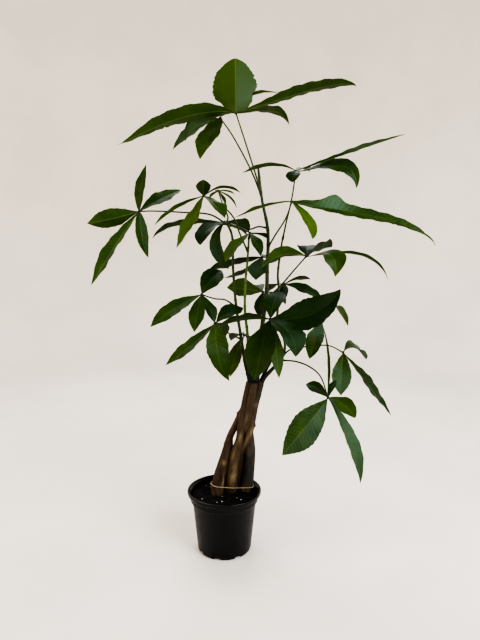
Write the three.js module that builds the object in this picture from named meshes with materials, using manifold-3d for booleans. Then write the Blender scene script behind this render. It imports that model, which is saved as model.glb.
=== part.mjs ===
// Potted money tree: five braided trunk stems in a black nursery pot, five green shoots
// and their fans of leaflets.
// Units are millimetres. +Z is up, +X is to the viewer's right, +Y is away from the viewer.
// The origin is the centre of the pot's underside.

import * as THREE from 'three';
import { mergeVertices } from 'three/addons/utils/BufferGeometryUtils.js';
import ManifoldModule from 'manifold-3d';

// Driving dimensions

const GAP = 0.3;

const POT = {
  height: 127,
  lipRadius: 77.4,
  collarRadius: 70.8,
  collarFoot: 106,
  neckRadius: 66.6,
  footRadius: 56,
  wall: 1.5,
  floorUnder: 5,
  floorTop: 7,
  padRadius: 18,
  lobes: 8,
  lobeTurn: 9.5,
  notchWidth: 15,
  notchHeight: 5.5,
  drainRadius: 4.5,
  segments: 32,
};

const SOIL = { edge: 114, mound: 5, moundSpread: 34, lump: 1.1 };

// The string leans: its height falls by "tilt" for each millimetre to the right of the braid's centre

const STRING = { height: 132, tilt: 0.14, radius: 1.1, clear: 0.6, sides: 5 };
const TAPE = { low: 358, high: 371, clear: 0.4, thickness: 1.2 };
const TAPED_SHOOTS = ['shoot_left', 'shoot_light', 'shoot_tall'];
const WRAP_SAMPLES = 26;

const BLADE = { thickness: 0.9, stalkThickness: 2.2, fold: 13, wave: 0.05, stepLength: 28 };
const USUAL_BLADE = { widest: 0.57, taper: 0.85, tail: 1, hook: 0, nod: 0, turn: 0, flap: [0, 0.5, 0, 0.1] };
const HUB_RADIUS = 3.4;
const HUB_CLEAR = 1.2;
const FLAP_RISE = 0.4;
const PETIOLE = { baseRadius: 2.0, hubRadius: 1.5, sides: 5, steps: 7 };

const COLOUR = {
  pot: 0x101114,
  soil: 0x2a2019,
  bark: 0x55402a,
  greyBark: 0x46403b,
  string: 0xc9b88c,
  tape: 0x1d5a60,
  shoot: 0x4c7a2c,
  leaf: 0x2d5a1c,
};

// Heights at which the braid's centre line and its stems are laid out, from the foot in the soil to the top

const BRAID_HEIGHTS = [70, 117, 148, 208, 235, 261, 304, 357];
const BRAID_CENTRE = [[8, 17], [12, 16], [18, 15], [30, 12], [36, 10], [41, 8], [53, 4], [65, 1]];

// Each stem: its distance from the centre line, right and away from the viewer, and its radius,
// at those heights

const STEMS = {
  stem_centre_left: {
    offsets: [[2, -6], [2, -8], [-2, -11], [-5, -15], [-4, -14], [-6, -12], [-11, -6], [-12, -4]],
    radii: [12, 12.5, 12, 10.5, 8.2, 8, 7.6, 7.6],
  },
  stem_crossing: {
    offsets: [[10, 8], [12, 12], [12, 10], [6, 0], [12, -10], [14, -10], [10, -8], [11, -4]],
    radii: [10, 11, 11, 9.6, 8.2, 8, 7.6, 7.6],
  },
  stem_right: {
    offsets: [[28, 4], [32, 4], [32, 2], [24, 0], [17, 3], [10, 5], [9, 8], [8, 9]],
    radii: [12, 13.4, 13, 11.4, 9.5, 8.6, 7.8, 7.6],
  },
  stem_left: {
    offsets: [[-22, -12], [-26.5, -14], [-28.5, -10], [-23, -4], [-24.5, -1], [-17, 4], [-9, 9], [-5, 12]],
    radii: [13.5, 14.2, 13.4, 11.5, 7.4, 7.2, 7.2, 7.4],
  },
  stem_back: {
    offsets: [[-6, 18], [-8, 24], [-5, 24], [2, 17], [8, 2], [4, -11], [0, -13], [-3, -13]],
    radii: [11, 12, 11, 10, 8.6, 8.2, 8, 7.8],
  },
};

// Shoots: points up each one, its radius at the foot and at the tip

const SHOOTS = {
  shoot_left: {
    points: [[58, 7, 348], [53, 7, 362], [46, 9, 382], [34, 12, 454], [25, 14, 512], [19, 16, 585],
      [16, 18, 658], [4, 20, 683]],
    foot: 3.6,
    tip: 2.2,
  },
  shoot_light: {
    points: [[54, -3, 350], [52, -8, 372], [48, -14, 457], [43, -16, 504], [44, -18, 565],
      [47, -18, 595], [51, -20, 652]],
    foot: 3.5,
    tip: 1.9,
  },
  shoot_tall: {
    points: [[64, -9, 350], [67, -4, 372], [76, 2, 453], [87, 4, 541], [88, 5, 587], [89, 5, 664],
      [77, 2, 724], [69, 0, 786]],
    foot: 5.4,
    tip: 2.4,
  },
  shoot_slim: {
    points: [[73, 8, 350], [83, 12, 370], [101, 17, 408], [107, 20, 451], [113, 22, 548], [111, 22, 574],
      [113, 22, 599], [121, 22, 655]],
    foot: 3.4,
    tip: 1.9,
  },
  shoot_right: {
    points: [[76, -4, 350], [83, -2, 364], [98, 0, 381], [117, 0, 402], [125, 0, 429], [121, 0, 452]],
    foot: 4.4,
    tip: 2.4,
  },
};

// Leaves. "petiole" runs from inside the shoot to the hub, its last point.
// Each leaflet: heading seen from above and rise of its chord, in degrees; length, width and height
// of its arch, in millimetres; how far along its length the arch is highest; its twist about the chord,
// in degrees; and what differs from USUAL_BLADE.
// There, "widest" and "tail" are shares of the length: where it is widest, and from where only a narrow tail
// is left. "taper" is higher for a blade with more drawn-out ends. "hook" turns the tip sideways and "nod"
// down, in millimetres. "turn" adds to the twist towards the tip. "flap" is where one half flares: its side,
// its place, how far, and over what share.

const LEAVES = {
  leaf_crown: {
    shoot: 'shoot_tall',
    petiole: [[74, 1, 742], [59, -5, 787], [25, -5, 889]],
    leaflets: [
      [-90, 13.3, 160, 82, -8, 0.5, 0, { widest: 0.45, taper: 0.55 }],
      [178, -14, 241, 52, 18, 0.4, 20, { widest: 0.42, taper: 1.2, flap: [1, 0.9, 6, 0.06] }],
      [-10, 10, 230, 40, 9, 0.75, -12, { widest: 0.66, taper: 0.62, nod: 5 }],
      [38, 5, 142, 34, 15, 0.7, -10, { taper: 0.7, nod: 10 }],
      [-40, 9, 102, 15, 18, 0.4, 0],
      [136, -3, 160, 42, 14, 0.5, 10],
    ],
  },
  leaf_second: {
    shoot: 'shoot_tall',
    petiole: [[76, 2, 730], [57, 10, 779], [16, 24, 857], [-7, 30, 890]],
    leaflets: [
      [-121, -53, 118, 52, 3, 0.5, 0, { widest: 0.44, taper: 0.8 }],
      [172, -31, 84, 30, 14, 0.6, 20],
      [151, -22, 128, 34, 10, 0.5, 0],
      [118, -22, 84, 28, 6, 0.5, 0],
    ],
  },
  leaf_upper_right: {
    shoot: 'shoot_slim',
    petiole: [[120, 22, 646], [127, 22, 680], [139, 24, 733], [146, 25, 785]],
    leaflets: [
      [175, -1, 109, 28, 12, 0.4, 5],
      [-110, -45, 38, 30, 4, 0.5, 0, { taper: 0.6 }],
      [-10, -18, 126, 40, 34, 0.7, 4, { widest: 0.66, taper: 0.6, turn: 76 }],
      [-17, 15, 216, 28, 1, 0.5, 0],
      [60, 9, 74, 26, 6, 0.5, 0],
    ],
  },
  leaf_long: {
    shoot: 'shoot_tall',
    petiole: [[89, 5, 629], [102, -20, 653], [121, -40, 684], [131, -50, 714]],
    leaflets: [
      [-175, -16, 112, 30, 5, 0.4, 0],
      [-36, -52, 93, 24, 4, 0.5, 25, { widest: 0.66, taper: 0.36, hook: 24 }],
      [-7, -18, 276, 34, 20, 0.72, 42,
        { widest: 0.55, taper: 0.45, tail: 0.92, flap: [-1, 0.27, 17, 0.09] }],
      [24, -10, 104, 34, 8, 0.5, 0],
    ],
  },
  leaf_eye_level: {
    shoot: 'shoot_tall',
    petiole: [[87, 4, 528], [100, -7, 540], [115, -14, 555], [141, -27, 587], [162, -35, 612]],
    leaflets: [
      [-155, -13, 103, 42, 14, 0.5, 38, { widest: 0.64, taper: 0.7 }],
      [47, 13, 92, 50, 6, 0.5, -30, { widest: 0.46, taper: 0.6 }],
      [-55, -27, 86, 44, 30, 0.66, 24, { widest: 0.8, taper: 0.75 }],
      [7, -12, 172, 18, 25, 0.6, -14, { nod: 10 }],
      [82, 26, 50, 38, 5, 0.5, 0],
    ],
  },
  leaf_small_back: {
    shoot: 'shoot_tall',
    petiole: [[87, 4, 524], [106, 25, 540], [126, 40, 556]],
    leaflets: [
      [19, 9, 62, 24, 5, 0.5, -24],
      [0, -22, 88, 36, 5, 0.5, 34],
      [90, -35, 80, 26, 8, 0.5, 0],
      [118, -18, 80, 24, 8, 0.5, 0],
    ],
  },
  leaf_front: {
    shoot: 'shoot_tall',
    petiole: [[83, 3, 502], [88, -30, 517], [91, -62, 508], [90, -75, 493]],
    leaflets: [
      [-18, 20, 141, 66, -16, 0.5, 56, { taper: 0.7, nod: -10 }],
      [-61, -29, 114, 56, 12, 0.5, 0, { taper: 0.7, hook: 12 }],
      [-119, -61, 120, 60, 6, 0.5, 0, { taper: 0.75, hook: 3 }],
      [10, -81, 115, 27, 2, 0.5, 84],
      [-168, -7, 102, 36, 9, 0.5, 25],
      [174, -8, 92, 28, 5, 0.5, 12],
      [70, 38, 79, 44, 8, 0.5, 0, { widest: 0.6, taper: 0.7 }],
    ],
  },
  leaf_low_right: {
    shoot: 'shoot_right',
    petiole: [[116, 0, 401], [146, -15, 401], [171, -25, 393], [192, -35, 376], [207, -45, 334]],
    leaflets: [
      [-141, -35, 152, 62, -1, 0.5, -62],
      [-16, -66, 181, 32, 9, 0.45, 38, { nod: 9 }],
      [-52, -20, 72, 34, 8, 0.5, 24, { widest: 0.6, taper: 0.6 }],
      [124, 12, 68, 24, 6, 0.5, -48],
      [55, 38, 46, 15, 4, 0.5, 0],
    ],
  },
  leaf_far_right: {
    shoot: 'shoot_right',
    petiole: [[117, 0, 404], [135, 6, 421], [182, 18, 427], [219, 20, 428], [247, 12, 415]],
    leaflets: [
      [43, -16, 91, 44, 20, 0.35, 30],
      [-107, -69, 89, 40, 6, 0.5, 0],
      [5, -52, 174, 42, 1, 0.5, 30],
      [76, -61, 90, 30, 8, 0.5, 0],
    ],
  },
  leaf_right_middle: {
    shoot: 'shoot_right',
    petiole: [[124, 0, 436], [157, 15, 462], [189, 20, 480], [203, 20, 478]],
    leaflets: [
      [-115, -45, 95, 36, 6, 0.5, 0, { taper: 0.7, hook: 5 }],
      [26, -10, 70, 30, 36, 0.4, 0],
      [58, -78, 175, 13, 22, 0.5, 40],
      [95, 5, 90, 32, 10, 0.5, 0],
    ],
  },
  leaf_far_left: {
    shoot: 'shoot_left',
    petiole: [[7, 19, 677], [-25, 5, 695], [-79, -12, 698], [-132, -25, 699], [-162, -30, 698]],
    leaflets: [
      [59, 76, 95, 26, 4, 0.5, 0, { widest: 0.46 }],
      [34, 28, 103, 36, 3, 0.5, 34, { taper: 0.75 }],
      [-162, -15, 100, 40, -2, 0.5, 60],
      [-143, -55, 172, 40, 4, 0.5, 50],
      [-53, -74, 93, 26, -3, 0.5, 0, { widest: 0.44, taper: 0.7, hook: -5 }],
    ],
  },
  leaf_round: {
    shoot: 'shoot_light',
    petiole: [[49, -19, 620], [38, -26, 643], [32, -29, 657], [20, -39, 686], [-3, -54, 707],
      [-35, -60, 723]],
    leaflets: [
      [-86, 14, 70, 27, 0, 0.5, 0, { widest: 0.5 }],
      [168, -28, 111, 26, 6, 0.5, 0],
      [-139, -58, 116, 42, -3, 0.5, 0, { widest: 0.5 }],
      [-41, -40, 70, 42, 4, 0.5, 0, { widest: 0.5 }],
      [16, 7, 72, 24, 12, 0.5, 0],
    ],
  },
  leaf_young: {
    shoot: 'shoot_left',
    petiole: [[6, 19, 680], [8, 30, 694], [-4, 37, 724], [-12, 40, 748]],
    leaflets: [
      [142, -28, 28, 11, 2, 0.5, 0],
      [37, -56, 34, 12, 2, 0.5, 0],
      [16, -40, 52, 14, 6, 0.5, 0],
      [20, -8, 36, 12, 3, 0.5, 0],
      [100, 0, 30, 8, 3, 0.5, 0],
    ],
  },
  leaf_left_inner: {
    shoot: 'shoot_tall',
    petiole: [[89, 4, 669], [70, 20, 673], [53, 30, 669], [23, 36, 680], [1, 35, 684]],
    leaflets: [
      [173, -9, 157, 38, 11, 0.6, 12, { nod: 8 }],
      [49, -12, 81, 42, 6, 0.5, -20],
      [-138, -38, 80, 46, 13, 0.6, -12, { widest: 0.62, taper: 0.55 }],
      [0, -85, 97, 27, -24, 0.45, 70, { taper: 0.65 }],
      [-21, -30, 58, 30, 4, 0.5, 0],
    ],
  },
  leaf_light_top: {
    shoot: 'shoot_light',
    petiole: [[50, -20, 645], [53, -24, 657]],
    leaflets: [
      [160, 14, 72, 26, 6, 0.5, 0],
      [-134, -40, 88, 38, 6, 0.5, 0, { widest: 0.62, taper: 0.7 }],
      [-65, -46, 64, 24, 6, 0.5, 0],
      [28, -14, 42, 26, 3, 0.5, 0],
    ],
  },
  leaf_centre_back: {
    shoot: 'shoot_tall',
    petiole: [[88, 5, 593], [87, 25, 610], [79, 42, 612]],
    leaflets: [
      [156, -12, 127, 38, 1, 0.5, 20, { taper: 0.6 }],
      [130, -19, 136, 28, -11, 0.5, 0],
      [-112, -52, 60, 42, 4, 0.5, 0],
      [75, -5, 110, 32, 10, 0.5, 0],
    ],
  },
  leaf_backlit: {
    shoot: 'shoot_tall',
    petiole: [[85, 3, 506], [85, 18, 530], [80, 28, 540]],
    leaflets: [
      [168, 6, 77, 44, 2, 0.5, 60],
      [100, 2, 112, 34, 10, 0.5, 0],
      [50, -20, 90, 30, 8, 0.5, 0],
      [-113, -71, 54, 26, 4, 0.5, 0],
    ],
  },
  leaf_left_lower: {
    shoot: 'shoot_left',
    petiole: [[25, 14, 509], [3, 0, 525], [-17, -14, 528], [-43, -25, 537]],
    leaflets: [
      [-147, -28, 123, 36, 5, 0.5, -35],
      [-102, -54, 85, 32, 6, 0.5, 0],
      [56, 35, 82, 44, 6, 0.5, 30, { taper: 0.75 }],
      [-48, -53, 67, 28, 4, 0.5, 0],
    ],
  },
  leaf_left_lowest: {
    shoot: 'shoot_left',
    petiole: [[35, 12, 443], [12, -20, 458], [-6, -42, 476], [-14, -50, 483]],
    leaflets: [
      [-162, -38, 125, 34, -2, 0.5, -25],
      [-66, -64, 116, 46, -14, 0.5, 0, { widest: 0.42, taper: 0.8, hook: -7 }],
      [43, 19, 78, 38, 6, 0.5, 26],
      [80, -26, 92, 32, 10, 0.5, 0],
    ],
  },
  leaf_light_low: {
    shoot: 'shoot_light',
    petiole: [[48, -14, 449], [46, 8, 454], [42, 27, 449]],
    leaflets: [
      [-171, -71, 93, 30, 4, 0.5, -62],
      [60, -30, 96, 30, 8, 0.5, 0],
      [110, -15, 90, 30, 8, 0.5, 0],
    ],
  },
};

// Small maths helpers

const UP = new THREE.Vector3(0, 0, 1);
const vec = (p) => new THREE.Vector3(p[0], p[1], p[2]);
const smoothCurve = (points) => new THREE.CatmullRomCurve3(points, false, 'centripetal');

// Geometry from rows of points; each row is a closed ring and the two ends are closed by fans

function geometryFrom(points, triangles) {
  const geometry = new THREE.BufferGeometry();
  const numbers = points.flatMap((p) => [p.x, p.y, p.z]);
  geometry.setAttribute('position', new THREE.Float32BufferAttribute(numbers, 3));
  geometry.setIndex(triangles);
  return geometry;
}

function tubeGeometry(curve, radiusAt, sides, steps, lead = 0) {
  const frames = curve.computeFrenetFrames(steps, false);
  const points = [];
  const triangles = [];
  for (let i = 0; i <= steps; i += 1) {
    const centre = curve.getPointAt(i / steps);
    if (i === 0) centre.addScaledVector(frames.tangents[0], -lead);
    const radius = radiusAt(i / steps);
    for (let j = 0; j < sides; j += 1) {
      const angle = (2 * Math.PI * j) / sides;
      points.push(centre.clone()
        .addScaledVector(frames.normals[i], radius * Math.cos(angle))
        .addScaledVector(frames.binormals[i], radius * Math.sin(angle)));
    }
  }
  for (let i = 0; i < steps; i += 1) {
    for (let j = 0; j < sides; j += 1) {
      const a = i * sides + j;
      const b = i * sides + ((j + 1) % sides);
      triangles.push(a, b, b + sides, a, b + sides, a + sides);
    }
  }
  const last = steps * sides;
  for (let j = 1; j < sides - 1; j += 1) {
    triangles.push(0, j + 1, j);
    triangles.push(last, last + j, last + j + 1);
  }
  return geometryFrom(points, triangles);
}

// Solids

const wasm = await ManifoldModule();
wasm.setup();

function solidOf(geometry) {
  const bare = geometry.clone();
  for (const name of Object.keys(bare.attributes)) {
    if (name !== 'position') bare.deleteAttribute(name);
  }
  const merged = mergeVertices(bare, 1e-4);
  return new wasm.Manifold(new wasm.Mesh({
    numProp: 3,
    vertProperties: new Float32Array(merged.attributes.position.array),
    triVerts: new Uint32Array(merged.index.array),
  }));
}

function largestPiece(solid) {
  return solid.decompose().sort((a, b) => b.volume() - a.volume())[0];
}

function meshOf(name, solid, material) {
  const data = solid.getMesh();
  const geometry = new THREE.BufferGeometry();
  geometry.setAttribute('position', new THREE.Float32BufferAttribute(Array.from(data.vertProperties), 3));
  geometry.setIndex(Array.from(data.triVerts));
  geometry.computeVertexNormals();
  const mesh = new THREE.Mesh(geometry, material);
  mesh.name = name;
  return mesh;
}

const lathed = (profile) => new THREE.LatheGeometry(
  profile.map(([r, z]) => new THREE.Vector2(r, z)), POT.segments).rotateX(Math.PI / 2);

// Pot: lathed wall, lip, collar and floor, then drain notches and holes cut between the foot's lobes

function potSolid() {
  const { height: top, lipRadius: lip, collarRadius: collar, collarFoot, wall } = POT;
  const { neckRadius: neck, footRadius: foot, padRadius: pad, floorUnder: under, floorTop: floor } = POT;
  const outline = [
    [0, 0], [pad, 0], [pad + 2, under], [foot - 8, under], [foot - 6, 0], [foot - 3.6, 0], [foot - 0.8, 2.6],
    [foot + 0.4, 7],
    [neck, collarFoot - 3], [collar - 0.4, collarFoot], [collar, collarFoot + 3],
    [collar - 0.8, collarFoot + 6], [collar + 0.2, top - 8], [lip - 0.6, top - 7], [lip, top - 5],
    [lip - 0.3, top - 2], [lip - 2, top], [lip - 4.2, top - 0.8], [collar + 0.2 - wall, top - 6],
    [collar - wall, collarFoot + 3], [neck - wall, collarFoot - 3], [foot - wall, floor], [0, floor],
  ];
  const turned = THREE.MathUtils.degToRad(POT.lobeTurn);
  let pot = solidOf(lathed(outline));
  for (let i = 0; i < POT.lobes; i += 1) {
    const turn = new THREE.Matrix4().makeRotationZ((2 * Math.PI * (i + 0.5)) / POT.lobes + turned);
    const notch = new THREE.BoxGeometry(20, POT.notchWidth, POT.notchHeight + 1)
      .translate(foot, 0, (POT.notchHeight - 1) / 2).applyMatrix4(turn);
    const drain = new THREE.CylinderGeometry(POT.drainRadius, POT.drainRadius, 12, 8)
      .rotateX(Math.PI / 2).translate(foot - 12, 0, 5).applyMatrix4(turn);
    pot = pot.subtract(solidOf(notch)).subtract(solidOf(drain));
  }
  return pot;
}

// Trunk stems: one smooth line each, laid round the braid's leaning centre line

function braidCurve(stem) {
  return smoothCurve(BRAID_HEIGHTS.map((z, i) => new THREE.Vector3(
    BRAID_CENTRE[i][0] + stem.offsets[i][0], BRAID_CENTRE[i][1] + stem.offsets[i][1], z)));
}

function radiusAtHeight(stem, z) {
  const i = Math.max(1, BRAID_HEIGHTS.findIndex((height) => height >= z));
  const share = (z - BRAID_HEIGHTS[i - 1]) / (BRAID_HEIGHTS[i] - BRAID_HEIGHTS[i - 1]);
  return THREE.MathUtils.lerp(stem.radii[i - 1], stem.radii[i], THREE.MathUtils.clamp(share, 0, 1));
}

function stemLine(stem) {
  const curve = braidCurve(stem);
  return { curve, radiusAt: (t) => radiusAtHeight(stem, curve.getPointAt(t).z) };
}

function stemSolid(stem, grow = 0) {
  const { curve, radiusAt } = stemLine(stem);
  return solidOf(tubeGeometry(curve, (t) => radiusAt(t) + grow, 9, 11, grow));
}

function shootLine({ points, foot, tip }) {
  return { curve: smoothCurve(points.map(vec)), radiusAt: (t) => THREE.MathUtils.lerp(foot, tip, t) };
}

function shootSolid(shoot, grow = 0) {
  const { curve, radiusAt } = shootLine(shoot);
  return solidOf(tubeGeometry(curve, (t) => radiusAt(t) + grow, 7, 2 * shoot.points.length, grow));
}

// Ties: the outline that a band pulled tight round some stems takes, at a height and a distance off them

function tightOutline(carriers, z, clear, lean) {
  const circles = carriers.map(({ curve, radiusAt }) => {
    let t = 0.5;
    for (let step = 0.25; step > 1e-4; step /= 2) t += curve.getPointAt(t).z < z ? step : -step;
    return { centre: curve.getPointAt(t), radius: radiusAt(t) / curve.getTangentAt(t).z };
  });
  return Array.from({ length: WRAP_SAMPLES }, (_, k) => {
    const angle = (2 * Math.PI * k) / WRAP_SAMPLES;
    const out = new THREE.Vector3(Math.cos(angle), Math.sin(angle), 0);
    const reach = (circle) => circle.centre.dot(out) + circle.radius;
    const outer = circles.reduce((best, circle) => (reach(circle) > reach(best) ? circle : best));
    const point = outer.centre.clone().addScaledVector(out, outer.radius + clear);
    return point.setZ(z - lean * (point.x - BRAID_CENTRE[1][0]));
  });
}

function wrapSolid(carriers, section, lean = 0) {
  const points = section.flatMap(([clear, z]) => tightOutline(carriers, z, clear, lean));
  const triangles = [];
  for (let i = 0; i < section.length; i += 1) {
    const next = ((i + 1) % section.length) * WRAP_SAMPLES;
    for (let k = 0; k < WRAP_SAMPLES; k += 1) {
      const a = i * WRAP_SAMPLES + k;
      const b = i * WRAP_SAMPLES + ((k + 1) % WRAP_SAMPLES);
      const c = next + ((k + 1) % WRAP_SAMPLES);
      const d = next + k;
      triangles.push(a, c, b, a, d, c);
    }
  }
  return solidOf(geometryFrom(points, triangles));
}

// Soil: fills the pot to a little under the lip, heaped slightly round the trunk, with low lumps

function soilSolid() {
  const { collarRadius: collar, collarFoot, neckRadius: neck, footRadius: foot, wall } = POT;
  const side = GAP + 0.1;
  const outline = [
    [0, POT.floorTop + GAP], [foot - wall - side, POT.floorTop + GAP], [neck - wall - side, collarFoot - 3],
    [collar - wall - side, collarFoot + 3], [collar - wall - side, SOIL.edge],
    [56, SOIL.edge], [42, SOIL.edge], [28, SOIL.edge], [14, SOIL.edge], [0, SOIL.edge],
  ];
  const geometry = lathed(outline);
  const position = geometry.attributes.position;
  const [cx, cy] = BRAID_CENTRE[1];
  for (let i = 0; i < position.count; i += 1) {
    const x = position.getX(i);
    const y = position.getY(i);
    if (position.getZ(i) > SOIL.edge - 1 && Math.hypot(x, y) < 60) {
      const away = Math.hypot(x - cx, y - cy) / SOIL.moundSpread;
      const lump = SOIL.lump * (Math.sin(x * 0.31 + y * 0.12) + Math.sin(y * 0.27 - x * 0.19));
      position.setZ(i, SOIL.edge + SOIL.mound * Math.exp(-away * away) + lump);
    }
  }
  return solidOf(geometry);
}

// Leaflet: a thin folded blade on an arched midrib, wavy at its edges, the same triangles above and below

function bladeGeometry(hub, [heading, rise, length, width, arch, peak, twist, extras], phase) {
  const { widest, taper, tail, hook, nod, turn, flap } = { ...USUAL_BLADE, ...extras };
  const [flapSide, flapPlace, flapReach, flapSpread] = flap;
  const h = THREE.MathUtils.degToRad(heading);
  const r = THREE.MathUtils.degToRad(rise);
  const along = new THREE.Vector3(Math.cos(r) * Math.cos(h), Math.cos(r) * Math.sin(h), Math.sin(r));
  const side = new THREE.Vector3().crossVectors(along, UP).normalize();
  const lift = new THREE.Vector3().crossVectors(side, along);
  const archAt = (s) => arch * (s / peak) ** (2 * peak) * ((1 - s) / (1 - peak)) ** (2 * (1 - peak));
  const ribAt = (s) => hub.clone()
    .addScaledVector(along, HUB_CLEAR + (length - HUB_CLEAR) * s)
    .addScaledVector(lift, archAt(s) - nod * s ** 8)
    .addScaledVector(side, hook * s ** 6);
  const steps = THREE.MathUtils.clamp(Math.round(length / BLADE.stepLength), 3, 7);
  const fold = Math.tan(THREE.MathUtils.degToRad(BLADE.fold));
  const power = Math.log(0.5) / Math.log(widest);
  const upper = [];
  const lower = [];
  for (let i = 0; i <= steps; i += 1) {
    const s = i / steps;
    const tangent = ribAt(Math.min(1, s + 0.02)).sub(ribAt(Math.max(0, s - 0.02))).normalize();
    const across = side.clone().applyAxisAngle(tangent, THREE.MathUtils.degToRad(twist + turn * s));
    const normal = new THREE.Vector3().crossVectors(across, tangent).normalize();
    const t = Math.min(1, s / tail);
    const body = Math.max(0, Math.sin(Math.PI * t ** power)) ** taper * (1 - 0.3 * t ** 8);
    const half = Math.max((width / 2) * body, i === steps ? 0.5 : 1.2);
    const flare = flapReach * Math.exp(-1.6 * ((s - flapPlace) / flapSpread) ** 2);
    const thick = BLADE.thickness + (BLADE.stalkThickness - BLADE.thickness) * Math.max(0, 1 - s / 0.1);
    for (const edge of [-1, 0, 1]) {
      const ripple = Math.abs(edge) * BLADE.wave * half * 2 * Math.sin(phase + 9 * s + edge);
      const flared = edge === flapSide ? Math.abs(edge) * flare : 0;
      const point = ribAt(s).addScaledVector(across, edge * (half + flared))
        .addScaledVector(normal, Math.abs(edge) * half * fold + ripple * Math.min(1, half / 8))
        .addScaledVector(normal, FLAP_RISE * flared);
      upper.push(point.clone().addScaledVector(normal, thick / 2));
      lower.push(point.clone().addScaledVector(normal, -thick / 2));
    }
  }
  const count = upper.length;
  const triangles = [];
  const sheet = (a, b, c) => {
    triangles.push(a, b, c);
    triangles.push(a + count, c + count, b + count);
  };
  const rim = [];
  for (let i = 0; i < steps; i += 1) {
    const a = 3 * i;
    sheet(a, a + 1, a + 4);
    sheet(a, a + 4, a + 3);
    sheet(a + 1, a + 2, a + 4);
    sheet(a + 2, a + 5, a + 4);
  }
  for (let i = 0; i < steps; i += 1) rim.push(3 * i + 2);
  const end = 3 * steps;
  rim.push(end + 2, end + 1);
  for (let i = steps; i > 0; i -= 1) rim.push(3 * i);
  rim.push(0, 1);
  for (let i = 0; i < rim.length; i += 1) {
    const a = rim[i];
    const b = rim[(i + 1) % rim.length];
    triangles.push(a, a + count, b + count, a, b + count, b);
  }
  return geometryFrom([...upper, ...lower], triangles);
}

function leafSolid(leaf, shootGrown, phase) {
  const points = leaf.petiole.map(vec);
  const hub = points[points.length - 1];
  const { baseRadius, hubRadius, sides, steps } = PETIOLE;
  const radiusAt = (t) => THREE.MathUtils.lerp(baseRadius, hubRadius, t);
  let solid = solidOf(tubeGeometry(smoothCurve(points), radiusAt, sides, steps));
  solid = solid.add(solidOf(new THREE.IcosahedronGeometry(HUB_RADIUS, 0).translate(hub.x, hub.y, hub.z)));
  leaf.leaflets.forEach((row, i) => {
    solid = solid.add(solidOf(bladeGeometry(hub, row, phase + 1.7 * i)));
  });
  return largestPiece(solid.subtract(shootGrown));
}

// The assembly

const material = (color, roughness) => new THREE.MeshStandardMaterial({ color, roughness, metalness: 0 });
const finish = {
  pot: material(COLOUR.pot, 0.35),
  soil: material(COLOUR.soil, 0.95),
  bark: material(COLOUR.bark, 0.8),
  greyBark: material(COLOUR.greyBark, 0.8),
  string: material(COLOUR.string, 0.85),
  tape: material(COLOUR.tape, 0.5),
  shoot: material(COLOUR.shoot, 0.5),
  leaf: material(COLOUR.leaf, 0.4),
};

const plant = new THREE.Group();
plant.add(meshOf('pot', potSolid(), finish.pot));

const grownStems = [];
for (const [name, stem] of Object.entries(STEMS)) {
  let solid = stemSolid(stem);
  for (const other of grownStems) solid = solid.subtract(other);
  plant.add(meshOf(name, largestPiece(solid), name === 'stem_right' ? finish.greyBark : finish.bark));
  grownStems.push(stemSolid(stem, GAP));
}
const trunkGrown = grownStems.reduce((all, stem) => all.add(stem));

plant.add(meshOf('soil', soilSolid().subtract(trunkGrown), finish.soil));

const stringSection = Array.from({ length: STRING.sides }, (_, k) => {
  const angle = (-2 * Math.PI * k) / STRING.sides;
  const out = STRING.clear + STRING.radius * (1 + Math.cos(angle));
  return [out, STRING.height + STRING.radius * Math.sin(angle)];
});
const string = wrapSolid(Object.values(STEMS).map(stemLine), stringSection, STRING.tilt);
plant.add(meshOf('base_string', largestPiece(string.subtract(trunkGrown)), finish.string));

const shootGrown = {};
let shootsGrown = trunkGrown;
for (const [name, shoot] of Object.entries(SHOOTS)) {
  plant.add(meshOf(name, largestPiece(shootSolid(shoot).subtract(shootsGrown)), finish.shoot));
  shootGrown[name] = shootSolid(shoot, GAP);
  shootsGrown = shootsGrown.add(shootGrown[name]);
}

const tapeOut = TAPE.clear + TAPE.thickness;
const tapeSection = [
  [TAPE.clear, TAPE.low], [TAPE.clear, TAPE.high], [tapeOut, TAPE.high], [tapeOut, TAPE.low],
];
const tape = wrapSolid(TAPED_SHOOTS.map((name) => shootLine(SHOOTS[name])), tapeSection);
plant.add(meshOf('top_tape', largestPiece(tape.subtract(shootsGrown)), finish.tape));

Object.entries(LEAVES).forEach(([name, leaf], i) => {
  plant.add(meshOf(name, leafSolid(leaf, shootGrown[leaf.shoot], i), finish.leaf));
});

export default plant;
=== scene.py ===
"""Potted money tree: the looks of a braided money tree in a black nursery pot, built round its packed frame.

Lengths are millimetres until a mesh is made, and then metres. +Z is up, +X is to the viewer's right,
+Y is away from the viewer, and the origin is the centre of the pot's underside.
"""

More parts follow.
